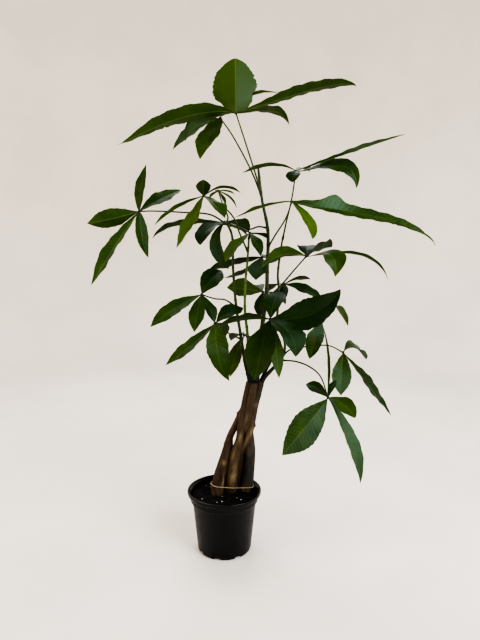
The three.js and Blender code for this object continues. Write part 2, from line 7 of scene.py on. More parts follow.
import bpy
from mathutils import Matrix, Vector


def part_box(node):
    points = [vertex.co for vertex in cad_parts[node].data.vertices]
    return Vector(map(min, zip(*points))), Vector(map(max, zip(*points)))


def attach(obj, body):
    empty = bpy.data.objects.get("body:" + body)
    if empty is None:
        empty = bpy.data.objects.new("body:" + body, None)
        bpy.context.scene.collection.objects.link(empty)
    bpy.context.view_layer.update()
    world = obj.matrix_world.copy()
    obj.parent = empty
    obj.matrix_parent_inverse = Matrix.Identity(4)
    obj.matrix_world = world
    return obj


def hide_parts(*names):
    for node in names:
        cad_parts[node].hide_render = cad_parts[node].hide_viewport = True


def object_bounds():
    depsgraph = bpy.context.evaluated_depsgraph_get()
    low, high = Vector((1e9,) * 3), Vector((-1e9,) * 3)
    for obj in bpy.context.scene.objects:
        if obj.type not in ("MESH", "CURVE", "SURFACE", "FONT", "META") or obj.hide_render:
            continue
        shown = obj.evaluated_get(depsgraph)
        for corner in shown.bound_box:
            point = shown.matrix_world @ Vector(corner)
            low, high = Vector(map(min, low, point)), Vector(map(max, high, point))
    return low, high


bl_info = {
    "name": "Potted Money Tree",
    "version": (1, 0, 0),
    "blender": (4, 5, 0),
    "location": "3D View > Sidebar > Money Tree",
    "description": "Builds a braided money tree with its leaves, trunk, soil and nursery pot",
    "category": "Add Mesh",
}

import functools
import math
from typing import NamedTuple

import bpy
import numpy as np

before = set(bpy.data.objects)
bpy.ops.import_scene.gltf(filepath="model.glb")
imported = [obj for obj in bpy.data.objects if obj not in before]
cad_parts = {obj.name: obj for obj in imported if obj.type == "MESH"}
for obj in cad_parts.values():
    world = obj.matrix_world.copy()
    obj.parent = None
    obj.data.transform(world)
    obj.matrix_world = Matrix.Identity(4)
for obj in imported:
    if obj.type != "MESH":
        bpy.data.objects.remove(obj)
CAD_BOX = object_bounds()
MM = 0.001

# The pot: how far its parts lie inside the lip's outer edge, its heights, and its ring of feet

COLLAR_IN = 6.6
NECK_IN = 10.8
FOOT_IN = 21.4
COLLAR_HEIGHT = 21
PAD_RADIUS = 18
UNDERSIDE_HEIGHT = 5
FLOOR_HEIGHT = 7
LOBES = 8
LOBE_STEP = 360 / LOBES
LOBE_TURN = 9.5
NOTCH_HEIGHT = 5.5
DRAIN_RADIUS = 4.5
DRAIN_IN = 12

# The soil: height of its top at the rim and how much its mound adds round the braid

SOIL_TOP = 114
SOIL_MOUND = 5
SOIL_MOUND_RADIUS = 34

# The braid: heights at which its leaning centre line and its stems are laid out, from the foot in the soil

BRAID_HEIGHTS = [70, 117, 148, 208, 235, 261, 304, 357]
BRAID_CENTRE = [(8, 17), (12, 16), (18, 15), (30, 12), (36, 10), (41, 8), (53, 4), (65, 1)]

# Each stem: how far it is from the centre line, right and away from the viewer, and its radius, at those
# heights

STEMS = {
    "stem_centre_left": {
        "offsets": [(2, -6), (2, -8), (-2, -11), (-5, -15), (-4, -14), (-6, -12), (-11, -6), (-12, -4)],
        "radii": [12, 12.5, 12, 10.5, 8.2, 8, 7.6, 7.6],
    },
    "stem_crossing": {
        "offsets": [(10, 8), (12, 12), (12, 10), (6, 0), (12, -10), (14, -10), (10, -8), (11, -4)],
        "radii": [10, 11, 11, 9.6, 8.2, 8, 7.6, 7.6],
    },
    "stem_right": {
        "offsets": [(28, 4), (32, 4), (32, 2), (24, 0), (17, 3), (10, 5), (9, 8), (8, 9)],
        "radii": [12, 13.4, 13, 11.4, 9.5, 8.6, 7.8, 7.6],
    },
    "stem_left": {
        "offsets": [(-22, -12), (-26.5, -14), (-28.5, -10), (-23, -4), (-24.5, -1), (-17, 4), (-9, 9),
                    (-5, 12)],
        "radii": [13.5, 14.2, 13.4, 11.5, 7.4, 7.2, 7.2, 7.4],
    },
    "stem_back": {
        "offsets": [(-6, 18), (-8, 24), (-5, 24), (2, 17), (8, 2), (4, -11), (0, -13), (-3, -13)],
        "radii": [11, 12, 11, 10, 8.6, 8.2, 8, 7.8],
    },
}

# How finely a stem is built, the one with grey bark, and those that are green near their tops

STEM_RINGS = 280
GREY_STEM = "stem_right"
GREEN_STEMS = ("stem_crossing", "stem_right")

# Tan patches, partly where the outer bark has worn thin and partly painted highlights where light catches a
# stem: each a height, the way it faces in degrees seen from above, its half height, its half width in degrees
# and its strength

TAN_WEAR_AND_HIGHLIGHTS = {
    "stem_centre_left": [(160, -80, 30, 46, 0.9), (242, -90, 12, 34, 0.85), (206, -120, 16, 20, 0.45),
                         (300, -60, 22, 20, 0.35)],
    "stem_crossing": [(256, -62, 14, 24, 0.9), (230, -100, 20, 30, 0.55), (311, -80, 5, 30, 0.8)],
    "stem_right": [(122, -95, 14, 60, 0.6), (170, 40, 30, 30, 0.3)],
    "stem_left": [(146, -48, 20, 20, 0.9), (184, -92, 7, 26, 0.8), (118, -110, 16, 40, 0.4),
                  (250, -150, 30, 30, 0.4)],
    "stem_back": [(205, 95, 34, 40, 0.6), (130, 80, 20, 40, 0.5), (278, -110, 18, 30, 0.35)],
}

# Knobs where a side shoot was pruned, each a height, a facing, how far it stands out and its half width

KNOBS = {
    "stem_centre_left": [(196, -150, 1.4, 6), (128, -30, 1.2, 8)],
    "stem_crossing": [(266, -10, 2.0, 4.5), (330, -40, 1.2, 5)],
    "stem_right": [(264, -20, 2.2, 4.5), (140, 30, 1.6, 8)],
    "stem_left": [(283, 178, 2.6, 5), (124, -120, 2.4, 11), (220, 170, 1.2, 5)],
    "stem_back": [(240, 60, 1.8, 5), (160, 120, 1.8, 8)],
}

# Shoots: points up each one, its radius at the foot and at the tip, and its tone, as on a leaflet

SHOOTS = {
    "shoot_left": {
        "points": [(58, 7, 348), (53, 7, 362), (46, 9, 382), (34, 12, 454), (25, 14, 512), (19, 16, 585),
                   (16, 18, 658), (4, 20, 683)],
        "foot": 3.6, "tip": 2.2, "tone": 0.2,
    },
    "shoot_light": {
        "points": [(54, -3, 350), (52, -8, 372), (48, -14, 457), (43, -16, 504), (44, -18, 565),
                   (47, -18, 595), (51, -20, 652)],
        "foot": 3.5, "tip": 1.9, "tone": 0.65,
    },
    "shoot_tall": {
        "points": [(64, -9, 350), (67, -4, 372), (76, 2, 453), (87, 4, 541), (88, 5, 587), (89, 5, 664),
                   (77, 2, 724), (69, 0, 786)],
        "foot": 5.4, "tip": 2.4, "tone": 0.12,
    },
    "shoot_slim": {
        "points": [(73, 8, 350), (83, 12, 370), (101, 17, 408), (107, 20, 451), (113, 22, 548),
                   (111, 22, 574), (113, 22, 599), (121, 22, 655)],
        "foot": 3.4, "tip": 1.9, "tone": 0.2,
    },
    "shoot_right": {
        "points": [(76, -4, 350), (83, -2, 364), (98, 0, 381), (117, 0, 402), (125, 0, 429), (121, 0, 452)],
        "foot": 4.4, "tip": 2.4, "tone": 0.25,
    },
}

# Leaves


class Leaf(NamedTuple):
    """A stalk, from inside its shoot to its hub, the last point, and the leaflets that meet there."""

    petiole: list
    blades: list


class Blade(NamedTuple):
    """One leaflet, in degrees and millimetres. A place is a share of its length."""

    heading: float  # its way seen from above
    rise: float  # how steeply its chord climbs
    length: float
    width: float
    arch: float  # height of its arch
    # Tone was set leaflet by leaflet to how bright each looks, so besides age it holds painted light and
    # shade
    tone: float  # from 0, dark and old, to 1, bright and young
    peak: float = 0.5  # place where the arch is highest
    twist: float = 0  # its turn about the chord
    turn: float = 0  # how much the twist grows by the tip
    widest: float = 0.57  # place where it is widest
    taper: float = 0.85  # higher for a blade with more drawn-out ends
    tail: float = 1.0  # place from where only a narrow tail is left
    hook: float = 0  # how far the tip turns sideways
    nod: float = 0  # how far the tip turns down
    flap: tuple = (0, 0.5, 0, 0.1)  # where one half flares: its side, its place, how far, over what share


LEAVES = {
    "leaf_crown": Leaf([(74, 1, 742), (59, -5, 787), (25, -5, 889)], [
        Blade(-90, 13.3, 160, 82, -8, 0.9, widest=0.45, taper=0.55),
        Blade(178, -14, 241, 52, 18, 0.55, peak=0.4, twist=20, widest=0.42, taper=1.2,
              flap=(1, 0.9, 6, 0.06)),
        Blade(-10, 10, 230, 40, 9, 0.45, peak=0.75, twist=-12, widest=0.66, taper=0.62, nod=5),
        Blade(38, 5, 142, 34, 15, 0.35, peak=0.7, twist=-10, taper=0.7, nod=10),
        Blade(-40, 9, 102, 15, 18, 0.5, peak=0.4),
        Blade(136, -3, 160, 42, 14, 0.4, twist=10),
    ]),
    "leaf_second": Leaf([(76, 2, 730), (57, 10, 779), (16, 24, 857), (-7, 30, 890)], [
        Blade(-121, -53, 118, 52, 3, 0.55, widest=0.44, taper=0.8),
        Blade(172, -31, 84, 30, 14, 0.45, peak=0.6, twist=20),
        Blade(151, -22, 128, 34, 10, 0.4),
        Blade(118, -22, 84, 28, 6, 0.4),
    ]),
    "leaf_upper_right": Leaf([(120, 22, 646), (127, 22, 680), (139, 24, 733), (146, 25, 785)], [
        Blade(175, -1, 109, 28, 12, 0.4, peak=0.4, twist=5),
        Blade(-110, -45, 38, 30, 4, 0.15, taper=0.6),
        Blade(-10, -18, 126, 40, 34, 0.3, peak=0.7, twist=4, widest=0.66, taper=0.6, turn=76),
        Blade(-17, 15, 216, 28, 1, 0.4),
        Blade(60, 9, 74, 26, 6, 0.4),
    ]),
    "leaf_long": Leaf([(89, 5, 629), (102, -20, 653), (121, -40, 684), (131, -50, 714)], [
        Blade(-175, -16, 112, 30, 5, 0.5, peak=0.4),
        Blade(-36, -52, 93, 24, 4, 0.8, twist=25, widest=0.66, taper=0.36, hook=24),
        Blade(-7, -18, 276, 34, 20, 0.35, peak=0.72, twist=42, widest=0.55, taper=0.45, tail=0.92,
              flap=(-1, 0.27, 17, 0.09)),
        Blade(24, -10, 104, 34, 8, 0.4),
    ]),
    "leaf_eye_level": Leaf([(87, 4, 528), (100, -7, 540), (115, -14, 555), (141, -27, 587),
            (162, -35, 612)], [
        Blade(-155, -13, 103, 42, 14, 0.45, twist=38, widest=0.64, taper=0.7),
        Blade(47, 13, 92, 50, 6, 0.05, twist=-30, widest=0.46, taper=0.6),
        Blade(-55, -27, 86, 44, 30, 0.4, peak=0.66, twist=24, widest=0.8, taper=0.75),
        Blade(7, -12, 172, 18, 25, 0.3, peak=0.6, twist=-14, nod=10),
        Blade(82, 26, 50, 38, 5, 0.05),
    ]),
    "leaf_small_back": Leaf([(87, 4, 524), (106, 25, 540), (126, 40, 556)], [
        Blade(19, 9, 62, 24, 5, 0.3, twist=-24),
        Blade(0, -22, 88, 36, 5, 0.15, twist=34),
        Blade(90, -35, 80, 26, 8, 0.1),
        Blade(118, -18, 80, 24, 8, 0.15),
    ]),
    "leaf_front": Leaf([(83, 3, 502), (88, -30, 517), (91, -62, 508), (90, -75, 493)], [
        Blade(-18, 20, 141, 66, -16, 0.05, twist=56, taper=0.7, nod=-10),
        Blade(-61, -29, 114, 56, 12, 0.12, taper=0.7, hook=12),
        Blade(-119, -61, 120, 60, 6, 0.25, taper=0.75, hook=3),
        Blade(10, -81, 115, 27, 2, 0.45, twist=84),
        Blade(-168, -7, 102, 36, 9, 0.1, twist=25),
        Blade(174, -8, 92, 28, 5, 0.1, twist=12),
        Blade(70, 38, 79, 44, 8, 0.15, widest=0.6, taper=0.7),
    ]),
    "leaf_low_right": Leaf([(116, 0, 401), (146, -15, 401), (171, -25, 393), (192, -35, 376),
            (207, -45, 334)], [
        Blade(-141, -35, 152, 62, -1, 0.3, twist=-62),
        Blade(-16, -66, 181, 32, 9, 0.25, peak=0.45, twist=38, nod=9),
        Blade(-52, -20, 72, 34, 8, 0.45, twist=24, widest=0.6, taper=0.6),
        Blade(124, 12, 68, 24, 6, 0.25, twist=-48),
        Blade(55, 38, 46, 15, 4, 0.2),
    ]),
    "leaf_far_right": Leaf([(117, 0, 404), (135, 6, 421), (182, 18, 427), (219, 20, 428), (247, 12, 415)], [
        Blade(43, -16, 91, 44, 20, 0.25, peak=0.35, twist=30),
        Blade(-107, -69, 89, 40, 6, 0.4),
        Blade(5, -52, 174, 42, 1, 0.1, twist=30),
        Blade(76, -61, 90, 30, 8, 0.4),
    ]),
    "leaf_right_middle": Leaf([(124, 0, 436), (157, 15, 462), (189, 20, 480), (203, 20, 478)], [
        Blade(-115, -45, 95, 36, 6, 0.35, taper=0.7, hook=5),
        Blade(26, -10, 70, 30, 36, 0.8, peak=0.4),
        Blade(58, -78, 175, 13, 22, 0.45, twist=40),
        Blade(95, 5, 90, 32, 10, 0.4),
    ]),
    "leaf_far_left": Leaf([(7, 19, 677), (-25, 5, 695), (-79, -12, 698), (-132, -25, 699),
            (-162, -30, 698)], [
        Blade(59, 76, 95, 26, 4, 0.3, widest=0.46),
        Blade(34, 28, 103, 36, 3, 0.3, twist=34, taper=0.75),
        Blade(-162, -15, 100, 40, -2, 0.4, twist=60),
        Blade(-143, -55, 172, 40, 4, 0.4, twist=50),
        Blade(-53, -74, 93, 26, -3, 0.3, widest=0.44, taper=0.7, hook=-5),
    ]),
    "leaf_round": Leaf([(49, -19, 620), (38, -26, 643), (32, -29, 657), (20, -39, 686), (-3, -54, 707),
            (-35, -60, 723)], [
        Blade(-86, 14, 70, 27, 0, 0.3, widest=0.5),
        Blade(168, -28, 111, 26, 6, 0.5),
        Blade(-139, -58, 116, 42, -3, 0.85, widest=0.5),
        Blade(-41, -40, 70, 42, 4, 0.45, widest=0.5),
        Blade(16, 7, 72, 24, 12, 0.4),
    ]),
    "leaf_young": Leaf([(6, 19, 680), (8, 30, 694), (-4, 37, 724), (-12, 40, 748)], [
        Blade(142, -28, 28, 11, 2, 0.6),
        Blade(37, -56, 34, 12, 2, 0.6),
        Blade(16, -40, 52, 14, 6, 0.6),
        Blade(20, -8, 36, 12, 3, 0.6),
        Blade(100, 0, 30, 8, 3, 0.6),
    ]),
    "leaf_left_inner": Leaf([(89, 4, 669), (70, 20, 673), (53, 30, 669), (23, 36, 680), (1, 35, 684)], [
        Blade(173, -9, 157, 38, 11, 0.2, peak=0.6, twist=12, nod=8),
        Blade(49, -12, 81, 42, 6, 0.3, twist=-20),
        Blade(-138, -38, 80, 46, 13, 0.15, peak=0.6, twist=-12, widest=0.62, taper=0.55),
        Blade(0, -85, 97, 27, -24, 0.3, peak=0.45, twist=70, taper=0.65),
        Blade(-21, -30, 58, 30, 4, 0.1),
    ]),
    "leaf_light_top": Leaf([(50, -20, 645), (53, -24, 657)], [
        Blade(160, 14, 72, 26, 6, 0.3),
        Blade(-134, -40, 88, 38, 6, 0.6, widest=0.62, taper=0.7),
        Blade(-65, -46, 64, 24, 6, 0.15),
        Blade(28, -14, 42, 26, 3, 0.15),
    ]),
    "leaf_centre_back": Leaf([(88, 5, 593), (87, 25, 610), (79, 42, 612)], [
        Blade(156, -12, 127, 38, 1, 0.05, twist=20, taper=0.6),
        Blade(130, -19, 136, 28, -11, 0.1),
        Blade(-112, -52, 60, 42, 4, 0.15),
        Blade(75, -5, 110, 32, 10, 0.4),
    ]),
    "leaf_backlit": Leaf([(85, 3, 506), (85, 18, 530), (80, 28, 540)], [
        Blade(168, 6, 77, 44, 2, 0.7, twist=60),
        Blade(100, 2, 112, 34, 10, 0.4),
        Blade(50, -20, 90, 30, 8, 0.4),
        Blade(-113, -71, 54, 26, 4, 0.3),
    ]),
    "leaf_left_lower": Leaf([(25, 14, 509), (3, 0, 525), (-17, -14, 528), (-43, -25, 537)], [
        Blade(-147, -28, 123, 36, 5, 0.35, twist=-35),
        Blade(-102, -54, 85, 32, 6, 0.3),
        Blade(56, 35, 82, 44, 6, 0.2, twist=30, taper=0.75),
        Blade(-48, -53, 67, 28, 4, 0.2),
    ]),
    "leaf_left_lowest": Leaf([(35, 12, 443), (12, -20, 458), (-6, -42, 476), (-14, -50, 483)], [
        Blade(-162, -38, 125, 34, -2, 0.35, twist=-25),
        Blade(-66, -64, 116, 46, -14, 0.4, widest=0.42, taper=0.8, hook=-7),
        Blade(43, 19, 78, 38, 6, 0.2, twist=26),
        Blade(80, -26, 92, 32, 10, 0.4),
    ]),
    "leaf_light_low": Leaf([(48, -14, 449), (46, 8, 454), (42, 27, 449)], [
        Blade(-171, -71, 93, 30, 4, 0.4, twist=-62),
        Blade(60, -30, 96, 30, 8, 0.1),
        Blade(110, -15, 90, 30, 8, 0.1),
    ]),
}

# White perlite grains that lie near the front of the soil, right and away from the viewer

PERLITE_SPOTS = [(-59, 19), (-42, 43), (-14, -36), (-4, -32), (-4, -14), (27, -23), (35, -28), (43, -14)]

# Torn or chewed margins: leaf and leaflet, then for each bite its side, its place along the blade,
# its half width in millimetres and how much of the half blade it takes

BITES = {
    ("leaf_crown", 0): [(-1, 0.35, 30, 0.22), (-1, 0.7, 2.6, 0.08), (-1, 0.56, 2.2, 0.05)],
    ("leaf_crown", 1): [(-1, 0.97, 7, 0.95), (1, 0.6, 2.5, 0.5)],
    ("leaf_low_right", 0): [(-1, 0.45, 3, 0.08)],
    ("leaf_long", 2): [(1, 0.7, 4, 0.14)],
}

# Dry blotches: leaf and leaflet, then place along the blade, place across it and half width in millimetres

BLOTCHES = {
    ("leaf_right_middle", 0): [(0.55, 0.3, 9), (0.7, -0.2, 6)],
    ("leaf_crown", 1): [(0.985, 0.0, 6)],
    ("leaf_far_right", 2): [(0.99, 0.0, 5)],
}

# Painted sheen, a cool colour laid over some glossy blades in place of the window's reflection: leaf and
# leaflet, then its side (0 for both), its place along the blade, its spread along it and its strength

PAINTED_SHEEN = {
    ("leaf_crown", 0): (-1, 0.45, 0.6, 0.8),
    ("leaf_second", 1): (0, 0.5, 0.6, 0.35),
    ("leaf_second", 2): (0, 0.5, 0.6, 0.4),
    ("leaf_upper_right", 3): (1, 0.5, 0.5, 0.35),
    ("leaf_long", 2): (-1, 0.27, 0.14, 0.7),
    ("leaf_front", 1): (0, 0.75, 0.25, 0.2),
    ("leaf_front", 3): (0, 0.8, 0.4, 0.15),
    ("leaf_low_right", 0): (-1, 0.15, 0.3, 0.45),
    ("leaf_low_right", 1): (0, 0.5, 0.6, 0.4),
    ("leaf_far_right", 0): (0, 0.8, 0.4, 0.5),
    ("leaf_far_right", 1): (0, 0.75, 0.45, 0.55),
    ("leaf_right_middle", 0): (0, 0.3, 0.3, 0.4),
    ("leaf_right_middle", 1): (0, 0.5, 0.5, 0.4),
    ("leaf_left_inner", 3): (0, 0.6, 0.5, 0.2),
    ("leaf_centre_back", 2): (0, 0.5, 0.5, 0.5),
}

# What one leaflet's mesh carries at each point for the blade's material; cool is its share of painted sheen

BLADE_VALUES = ("rank", "off_rib", "off_margin", "tone", "upper", "stalk", "dry", "cool")

# Blades: how far a half folds up from the midrib and how far it ripples, both for its half width, how far
# from the hub's centre a leaflet starts, and how far under the frame's top it stays

BLADE_FOLD = math.tan(math.radians(13))
BLADE_RIPPLE = 0.1
HUB_CLEAR = 1.2
TOP_CLEAR = 0.1

# The tape's lower and upper edge, and the shoots that it binds

TAPE_HEIGHTS = (357.5, 371.5)
TAPED_SHOOTS = ("shoot_left", "shoot_light", "shoot_tall")

# Soft lights: place, point that each looks at and size, in metres, the setting of its power, and its colour

LIGHTS = {
    "window": ((1.7, -1.5, 1.7), (0.05, 0, 0.55), (1.5, 1.7), "key", "#e6eeff"),
    "room": ((-2.0, -0.9, 1.1), (0.05, 0, 0.5), (1.6, 1.6), "fill", "#fff0df"),
    "sky": ((-0.3, 1.3, 2.2), (0.05, 0, 0.6), (1.8, 1.4), "top", "#f2f4ff"),
    "low": ((0.7, -2.0, 0.1), (0.1, 0, 0.5), (1.6, 0.8), "low", "#a6cfe2"),
}

# The camera, fitted to the lip and the foot of the pot: place in metres, pitch in degrees, lens and sensor

CAMERA_PLACE = (0.033, -0.993, 0.583)
CAMERA_PITCH = -5.7
CAMERA_LENS = 27.5625
CAMERA_SENSOR = 36

# The backdrop, in metres: its flat disc, the bend up to its wall, the wall's top, and how far the disc lies
# under the pot

FLOOR_RADIUS = 2.0
FLOOR_BEND = 0.9
WALL_TOP = 3.2
FLOOR_GAP = 0.0004

# The way up, for cross products

UP = np.array([0.0, 0.0, 1.0])


# Numbers, colours and paths


def linear(code):
    """A linear colour, with full alpha, from an sRGB hex code."""
    parts = [int(code[i:i + 2], 16) / 255 for i in (1, 3, 5)]
    return tuple(c / 12.92 if c <= 0.04045 else ((c + 0.055) / 1.055) ** 2.4 for c in parts) + (1.0,)


def unit(vectors):
    """Each vector divided by its length."""
    return vectors / np.maximum(np.linalg.norm(vectors, axis=-1, keepdims=True), 1e-12)


def bell(x):
    """1 at 0, falling smoothly to nothing a little past 1 on either side."""
    return np.exp(-(x ** 2) * 1.6)


def ease(low, high, x):
    """0 below low, 1 above high and a smooth step between."""
    t = np.clip((x - low) / (high - low), 0, 1)
    return t * t * (3 - 2 * t)


def smooth_path(points, count):
    """A centripetal Catmull-Rom spline through given points, read off at even lengths.

    Knots lie the square root of their distance apart, and the ends are mirrored to give the outer knots.
    """
    points = np.asarray(points, float)
    if len(points) == 2:
        return points[0] + np.linspace(0, 1, count)[:, None] * (points[1] - points[0])
    p = np.vstack([2 * points[0] - points[1], points, 2 * points[-1] - points[-2]])
    gap = np.linalg.norm(np.diff(p, axis=0), axis=1) ** 0.5
    u = np.linspace(0, len(points) - 1, 48 * (len(points) - 1) + 1)
    i = np.minimum(u.astype(int), len(points) - 2)
    t = (u - i)[:, None]
    p0, p1, p2, p3 = (p[i + k] for k in range(4))
    d0, d1, d2 = (gap[i + k][:, None] for k in range(3))
    m1 = ((p1 - p0) / d0 - (p2 - p0) / (d0 + d1) + (p2 - p1) / d1) * d1
    m2 = ((p2 - p1) / d1 - (p3 - p1) / (d1 + d2) + (p3 - p2) / d2) * d1
    curve = p1 + m1 * t + (3 * (p2 - p1) - 2 * m1 - m2) * t ** 2 + (2 * (p1 - p2) + m1 + m2) * t ** 3
    return even(curve, count)


def even(curve, count):
    """The same line with its points at even lengths."""
    length = run_of(curve)
    at = np.linspace(0, length[-1], count)
    return np.column_stack([np.interp(at, length, curve[:, k]) for k in range(3)])


def run_of(path):
    """The length of a line up to each of its points."""
    return np.concatenate([[0], np.cumsum(np.linalg.norm(np.diff(path, axis=0), axis=1))])


def full_turn(count):
    """Angles evenly round a circle."""
    return np.arange(count) * (2 * np.pi / count)


def lathed(radius, height, turn):
    """Rings about the pot's axis: radius times the cosine and the sine of the turn, at a height."""
    return np.stack(np.broadcast_arrays(radius * np.cos(turn), radius * np.sin(turn), height), axis=-1)


def circles(path, sides):
    """The way out from each point of a path to each point of a circle round it.

    The circle is started along the plane that the path nearly lies in, so that it doesn't turn on its way.
    """
    tangent = unit(np.gradient(path, axis=0))
    flat = np.linalg.svd(path - path.mean(axis=0), full_matrices=False)[2][-1]
    flat = flat * np.sign(flat[np.argmax(np.abs(flat))])
    normal = unit(flat - tangent * (tangent @ flat)[:, None])
    turn = full_turn(sides)[None, :, None]
    return normal[:, None] * np.cos(turn) + np.cross(tangent, normal)[:, None] * np.sin(turn)


def lattice_noise(seed, u, v, around, along):
    """Smooth noise from -1 to 1: random heights on a lattice that closes on itself round u, eased between."""
    heights = np.random.default_rng(seed).uniform(-1, 1, (along + 2, around))
    x = (u % 1) * around
    y = np.clip(v, 0, 1) * along
    i = x.astype(int)
    j = y.astype(int)
    a = ease(0, 1, x - i)
    b = ease(0, 1, y - j)
    left, right = i % around, (i + 1) % around
    low = heights[j, left] * (1 - a) + heights[j, right] * a
    high = heights[j + 1, left] * (1 - a) + heights[j + 1, right] * a
    return low * (1 - b) + high * b


# Shapes and pieces


class Shape:
    """The points, faces and per-point values of one piece, gathered surface by surface."""

    def __init__(self):
        self.points = []
        self.quads = []
        self.triangles = []
        self.values = {}
        self.count = 0

    def add(self, points, quads, triangles=None, **values):
        """Adds one surface; a value is one number for all its points, or one for each."""
        self.points.append(points)
        self.quads.append(quads + self.count)
        if triangles is not None:
            self.triangles.append(triangles + self.count)
        for name, value in values.items():
            full = np.broadcast_to(np.asarray(value, float), (len(points),))
            self.values.setdefault(name, []).append(full)
        self.count += len(points)

    def add_rings(self, rings, **values):
        """Adds rows of closed rings, with a fan at each end.

        Each ring goes round to the left, seen the way that the rows run.
        """
        rows, columns = rings.shape[:2]
        ends = np.stack([rings[0].mean(axis=0), rings[-1].mean(axis=0)])
        points = np.vstack([rings.reshape(-1, 3), ends])
        full = {}
        for name, value in values.items():
            value = np.broadcast_to(np.asarray(value, float), (rows, columns))
            full[name] = np.concatenate([value.ravel(), [value[0].mean(), value[-1].mean()]])
        first = np.arange(columns)
        following = (first + 1) % columns
        last = (rows - 1) * columns
        foot = np.stack([np.full(columns, rows * columns), following, first], axis=-1)
        top = np.stack([np.full(columns, rows * columns + 1), first + last, following + last], axis=-1)
        self.add(points, ring_quads(rows, columns), np.vstack([foot, top]), **full)

    def add_tube(self, path, radius, sides, **values):
        """Adds a round tube: a circle of the given radius carried along a path, closed at both ends."""
        radius = np.broadcast_to(radius, (len(path),))[:, None, None]
        values = {k: v if np.ndim(v) != 1 else np.asarray(v)[:, None] for k, v in values.items()}
        self.add_rings(path[:, None] + circles(path, sides) * radius, **values)

    def add_lumps(self, centres, sizes, turns, wobble):
        """Adds many small lumps: an eight-sided double cone each, stretched, turned and roughened."""
        corners = np.array([(1, 0, 0), (0.3, 1, 0.1), (-1, 0.2, 0), (0, -1, -0.1),
                            (0.1, 0.1, 0.9), (0, -0.1, -0.9)])
        faces = np.array([*((i, (i + 1) % 4, 4) for i in range(4)), *(((i + 1) % 4, i, 5) for i in range(4))])
        count = len(centres)
        local = (corners[None] + wobble) * sizes[:, None]
        points = centres[:, None] + np.einsum("nij,nkj->nki", turns, local)
        triangles = faces[None] + (np.arange(count) * len(corners))[:, None, None]
        self.add(points.reshape(-1, 3), np.zeros((0, 4), int), triangles.reshape(-1, 3))


def ring_quads(rows, columns):
    """Faces between neighbours on rows of closed rings, stored row by row."""
    i, j = np.meshgrid(np.arange(rows - 1), np.arange(columns), indexing="ij")
    a = i * columns + j
    b = i * columns + (j + 1) % columns
    return np.stack([a, b, b + columns, a + columns], axis=-1).reshape(-1, 4)


def linked(name, data):
    """A new object in the scene, at the origin."""
    made = bpy.data.objects.new(name, data)
    bpy.context.scene.collection.objects.link(made)
    return made


def make_piece(name, shape, material, slot, replaced=None, sharp=50):
    """Puts a shape into a mesh at the origin, in metres, smooth but for its sharp edges."""
    points = np.concatenate(shape.points) * MM
    quads = np.concatenate(shape.quads)
    triangles = np.concatenate(shape.triangles) if shape.triangles else np.zeros((0, 3), int)
    corners = np.concatenate([quads.ravel(), triangles.ravel()])
    starts = np.concatenate([np.arange(len(quads)) * 4, quads.size + np.arange(len(triangles)) * 3])
    mesh = bpy.data.meshes.new(name)
    mesh.vertices.add(len(points))
    mesh.vertices.foreach_set("co", points.astype(np.float32).ravel())
    mesh.loops.add(len(corners))
    mesh.loops.foreach_set("vertex_index", corners.astype(np.int32))
    mesh.polygons.add(len(starts))
    mesh.polygons.foreach_set("loop_start", starts.astype(np.int32))
    mesh.update(calc_edges=True)
    for key, parts in shape.values.items():
        held = mesh.attributes.new(key, "FLOAT", "POINT")
        held.data.foreach_set("value", np.concatenate(parts).astype(np.float32))
    if mesh.validate():
        raise RuntimeError(f"the mesh of {name} has faulty faces")
    mesh.shade_smooth()
    mesh.set_sharp_from_angle(angle=math.radians(sharp))
    mesh.materials.append(material)
    piece = linked(name, mesh)
    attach(piece, "root")
    if replaced:
        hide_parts(replaced)
    return piece


# Kinds of shader node: type, the output that is read, or None for its first open one, and settings

PLACE = ("TexCoord", "Object", {})
READ = ("Attribute", "Fac", {})
MAPPING = ("Mapping", None, {})
NOISE = ("TexNoise", None, {})
CELLS = ("TexVoronoi", None, {"feature": "DISTANCE_TO_EDGE"})
SMOOTH = ("MapRange", None, {"interpolation_type": "SMOOTHSTEP"})
BLEND = ("Mix", None, {"data_type": "RGBA"})
BETWEEN = ("Mix", None, {"data_type": "FLOAT"})
PLUS = ("Math", None, {"operation": "ADD"})
LESS = ("Math", None, {"operation": "SUBTRACT"})
TIMES = ("Math", None, {"operation": "MULTIPLY"})
TIMES_PLUS = ("Math", None, {"operation": "MULTIPLY_ADD"})
FOLDED = ("Math", None, {"operation": "PINGPONG"})
LARGER = ("Math", None, {"operation": "MAXIMUM"})
BUMP = ("Bump", None, {})
PRINCIPLED = ("BsdfPrincipled", None, {})
TRANSLUCENT = ("BsdfTranslucent", None, {})
MIX_SHADER = ("MixShader", None, {})
OUTPUT = ("OutputMaterial", None, {})


def node(tree, kind, *values, sockets=None, **settings):
    """Adds a node of a kind with its settings, fills its sockets and returns its output.

    Values go into the open sockets in order, and sockets is for those that go in by name. A value that
    is another node's output is linked.
    """
    type_name, output, usual = kind
    made = tree.nodes.new("ShaderNode" + type_name)
    for name, value in {**usual, **settings}.items():
        setattr(made, name, value)
    pairs = list(zip([socket for socket in made.inputs if socket.enabled], values))
    pairs += [(made.inputs[name], value) for name, value in (sockets or {}).items()]
    for socket, value in pairs:
        if isinstance(value, bpy.types.NodeSocket):
            tree.links.new(value, socket)
        else:
            socket.default_value = value
    if output:
        return made.outputs[output]
    return next((socket for socket in made.outputs if socket.enabled), None)


def new_material(name):
    """A material with an empty tree, and the function that adds a node to it."""
    material = bpy.data.materials.new(name)
    material.use_nodes = True
    material.node_tree.nodes.clear()
    return material, functools.partial(node, material.node_tree)


def finished(material, add, sockets):
    """Ends a material in a shader with these sockets set or linked."""
    add(OUTPUT, add(PRINCIPLED, sockets=sockets))
    return material


def painted(add, colour, *layers):
    """Lays colours over a colour: each layer a share, and an sRGB hex code or a linear colour."""
    for share, paint in layers:
        colour = add(BLEND, share, colour, linear(paint) if isinstance(paint, str) else paint)
    return colour


